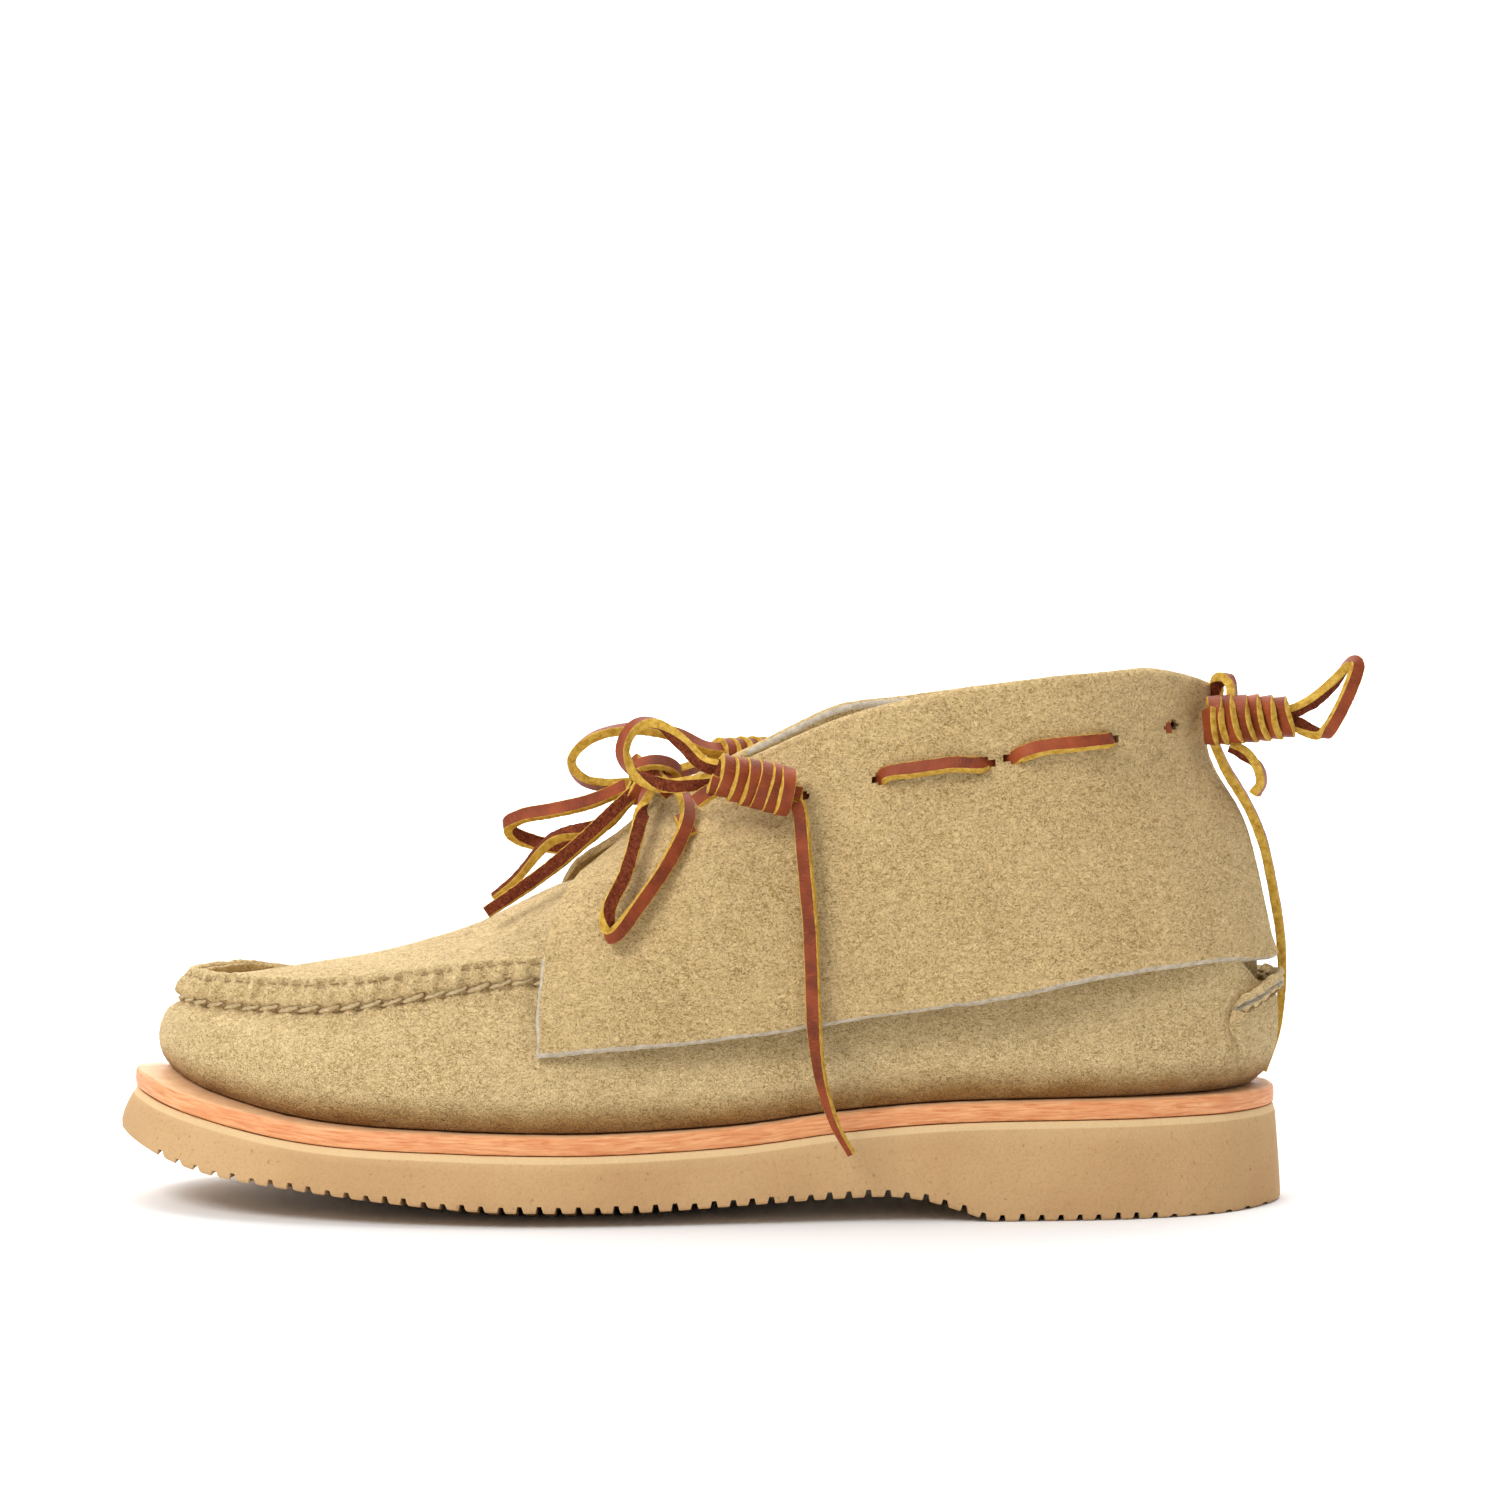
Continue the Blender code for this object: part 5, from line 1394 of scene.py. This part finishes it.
def build_thongs():
    for side, name, seed in ((1, "thong_lateral", 41), (-1, "thong_medial", 42)):
        line = lace_line(thong_route(side), step=0.6)
        lace_piece(name + "_lace", [lace_mesh(*line, LACE_WIDE, LACE_THICK, seed)], [name])


# ---------------------------------------------------------------- stitches


PLIES, TWIST, STRAND_AROUND, STRAND_STEPS = 2, 2.6, 10, 9
FRONT_STITCHES = -33  # x behind which the collar hides the moc-toe stitches
HEEL_PINCH, HEEL_STITCH = 4.4, 3.6  # pitches of the heel seam's waves and of its stitches
# The heel seam's two lips: (seed, which way it faces, height, how far out, width, thickness, lean)
HEEL_LIPS = ((61, 1, 1.2, 0.1, 3.2, 1.9, -0.7), (62, -1, -0.45, -0.1, 3.0, 1.9, 0.7))


def strand_mesh(line, radius, seed):
    """A short strand of plied thread with pointed ends."""
    tangent = unit(np.gradient(line, axis=0))
    side = unit(np.cross(tangent, (0.13, 0.21, 0.97)))
    other = np.cross(tangent, side)
    s = lengths_along(line)
    share = s / s[-1]
    angle = np.arange(STRAND_AROUND) * 2 * math.pi / STRAND_AROUND
    ply = 1 + 0.2 * np.cos(PLIES * (angle[None] - s[:, None] * TWIST / radius * 0.35))
    size = radius * np.clip(np.sin(math.pi * (0.06 + 0.88 * share)), 0, 1) ** 0.45
    spoke = side[:, None] * np.cos(angle)[None, :, None] + other[:, None] * np.sin(angle)[None, :, None]
    verts = line[:, None] + spoke * (size[:, None] * ply)[..., None]
    along = np.stack(np.broadcast_arrays(s[:, None], (angle * radius)[None], seed * 3.0), axis=-1)
    faces = tube_faces(len(line), STRAND_AROUND)
    return verts.reshape(-1, 3), faces, [0] * len(faces), along.reshape(-1, 3)


def stitch_row(ring, out, phase, radius, start, end, bulge, seed, last_x=math.inf):
    """One strand for each turn of the phase up to last_x. Start and end are (share, outward, up) offsets."""
    parts = []
    order = np.arange(len(ring))
    t = np.linspace(0, 1, STRAND_STEPS)
    for k in range(int(phase[-1] / (2 * math.pi))):
        at = np.interp((k + np.linspace(start[0], end[0], STRAND_STEPS)) * 2 * math.pi, phase, order)
        base = np.stack([np.interp(at, order, ring[:, j]) for j in range(3)], axis=1)
        away = unit(np.stack([np.interp(at, order, out[:, j]) for j in range(3)], axis=1))
        if base[:, 0].mean() >= last_x:
            continue
        lift = start[1] + (end[1] - start[1]) * t + bulge * np.sin(math.pi * t)
        rise = start[2] + (end[2] - start[2]) * t
        jitter = ROUGH.uniform(-0.2, 0.2, 2)
        line = base + away * (lift + jitter[0])[:, None]
        line[:, 2] += rise + jitter[1]
        parts.append(strand_mesh(line, radius * ROUGH.uniform(0.88, 1.1), seed + k))
    return parts


def stitch_piece(name, parts, look, node):
    verts, faces, _, along = joined(parts)
    piece(name, verts, faces, [look], [node], marks={"along": along * MM}, sharp=80)


def build_stitches():
    phase, seam = seam_phase()
    _, out = outline(BODY_COLUMNS)
    thick = stitch_row(
        seam, out, phase, 0.62, (0.04, -0.5, -0.75), (1.02, -0.1, 0.45), 0.62, 100, FRONT_STITCHES
    )
    stitch_piece("moc_stitches", thick, THREAD_LOOK, "seam_thread")
    upper = seam_ring() * 0.2 + ridge_ring() * 0.8
    thin = stitch_row(
        upper, out, phase * THIN_STITCH, 0.26, (0.14, 0.5, 0), (0.86, 0.5, 0.1), 0.2, 300, FRONT_STITCHES
    )
    stitch_piece("ridge_stitches", thin, DARK_THREAD, "edge_thread")


def heel_end(line, out, side):
    """The seam's lips carried down and round at one end of it."""
    drop = np.linspace(0, 1, 24)[:, None]
    centre = line[side] + out[side] * (1.3 - 1.2 * drop) + drop * [2.6, 0, -10]
    centre = centre - np.sin(math.pi * drop) * [1.6, 0, 0]
    tuck = 0.9 - 0.75 * smooth((drop[:, 0] - 0.3) / 0.7)
    return lace_mesh(centre, np.tile(out[side], (24, 1)), 3.6, 2.0, 63 - side, fuzz=1.2, shrink=tuck)


def build_heel_seam():
    line = spline(np.array(HEEL_SEAM, float), np.linspace(0, 4, 120))
    out = unit(line - np.array([118, 0, 56]))
    out[:, 2] = 0
    s = lengths_along(line)
    pinch = np.sin(s * 2 * math.pi / HEEL_PINCH)
    share = s / s[-1]
    fade = smooth(share / 0.08) * smooth((1 - share) / 0.08)
    parts = []
    for seed, way, lift, reach, wide, thick, lean in HEEL_LIPS:
        centre = line + out * (reach + 0.3 * pinch * way)[:, None]
        centre[:, 2] += lift + noise(centre, 3.4) * 0.8
        grain = np.tile([0.0, 0, 1], (len(centre), 1)) + out * (lean + 0.15 * pinch[:, None])
        parts.append(lace_mesh(centre, grain * way, wide, thick, seed, fuzz=1.2, shrink=0.35 + 0.65 * fade))
    parts += [heel_end(line, out, side) for side in (0, -1)]
    verts, faces, materials, _ = joined(parts)
    looks, marks = [SUEDE_LOOK, SUEDE_LOOK, EDGE_LOOK], {"darkened": verts[:, 0] * 0}
    piece("heel_seam_lips", verts, faces, looks, face_material=materials, marks=marks)
    low = line + out * 0.7
    low[:, 2] -= 1.7
    phase = s / HEEL_STITCH * 2 * math.pi
    parts = stitch_row(low, out, phase, 0.5, (0.1, 0.1, -0.2), (0.9, 0.1, 0.2), 0.35, 500)
    stitch_piece("heel_stitches", parts, DARK_THREAD, "heel_seam_thread")


# ---------------------------------------------------------------- studio


CAMERA_TARGET = (12.7, 0, 116.6)
CAMERA_DISTANCE = 1800
CAMERA_ELEVATION = 5.5
CAMERA_LENS = 167.05
SWEEP_NEAR, SWEEP_BACK, SWEEP_RADIUS, SWEEP_HEIGHT = -2400, 1500, 700, 2400
SWEEP_SIDE, SWEEP_STEPS, SWEEP_DROP = 3000, 12, 0.15  # the paper lies just under the sole
WORLD_STRENGTH = 0.52
# (name, place, what it is aimed at, size, watts)
LIGHTS = (
    ("key", (-900, -1000, 1300), (0, 0, 60), (800, 700), 19),
    ("top", (50, 150, 1500), (0, 0, 60), (1400, 1000), 9),
    ("backdrop", (0, 1000, 1500), (0, 2150, 150), (2600, 700), 60),
    ("fill", (1100, -1000, 500), (30, 0, 60), (800, 800), 0.5),
)


def turned_to(made, direction):
    made.rotation_mode = "QUATERNION"
    made.rotation_quaternion = direction.to_track_quat("-Z", "Y")
    bpy.context.scene.collection.objects.link(made)


def area_light(name, place, aim, size, power):
    data = bpy.data.lights.new(name, "AREA")
    data.shape = "RECTANGLE"
    data.size, data.size_y = (s * MM for s in size)
    data.energy = power
    made = bpy.data.objects.new(name, data)
    made.location = Vector(place) * MM
    turned_to(made, Vector(aim) - Vector(place))


def build_sweep():
    """Pale paper that lies on the floor and curves up behind the shoe."""
    paper = Look("paper", 0.9, Specular_IOR_Level=0.1)
    paper.colour(paper.ramp(paper.noise(400, 2), (0.3, 0.9), (0.7, 0.92)))
    profile = [(SWEEP_NEAR, 0), (SWEEP_BACK, 0)]
    for k in range(1, SWEEP_STEPS + 1):
        angle = math.pi / 2 * k / SWEEP_STEPS
        profile.append((SWEEP_BACK + SWEEP_RADIUS * math.sin(angle), SWEEP_RADIUS * (1 - math.cos(angle))))
    profile.append((SWEEP_BACK + SWEEP_RADIUS, SWEEP_HEIGHT))
    verts = [(x, y, z - SWEEP_DROP) for y, z in profile for x in (-SWEEP_SIDE, SWEEP_SIDE)]
    faces = [[2 * k, 2 * k + 1, 2 * k + 3, 2 * k + 2] for k in range(len(profile) - 1)]
    piece("studio_sweep", verts, faces, [paper.material], body=None)


def build_studio():
    build_sweep()
    world = bpy.data.worlds.new("studio")
    bpy.context.scene.world = world
    world.use_nodes = True
    background = world.node_tree.nodes["Background"]
    background.inputs["Color"].default_value = (1, 1, 1, 1)
    background.inputs["Strength"].default_value = WORLD_STRENGTH
    for light in LIGHTS:
        area_light(*light)

    data = bpy.data.cameras.new("camera")
    data.lens = CAMERA_LENS
    data.sensor_width = 36
    data.clip_start, data.clip_end = 0.01, 20
    camera = bpy.data.objects.new("camera", data)
    rise = math.radians(CAMERA_ELEVATION)
    back = Vector((0, -math.cos(rise), math.sin(rise)))
    camera.location = (Vector(CAMERA_TARGET) + back * CAMERA_DISTANCE) * MM
    turned_to(camera, -back)
    bpy.context.scene.camera = camera
    bpy.context.scene.view_settings.view_transform = "Standard"


build_studio()
build_laces()
build_outsole()
build_midsole()
build_vamp()
build_apron()
build_sock_liner()
build_collar()
build_thongs()
build_stitches()
build_heel_seam()
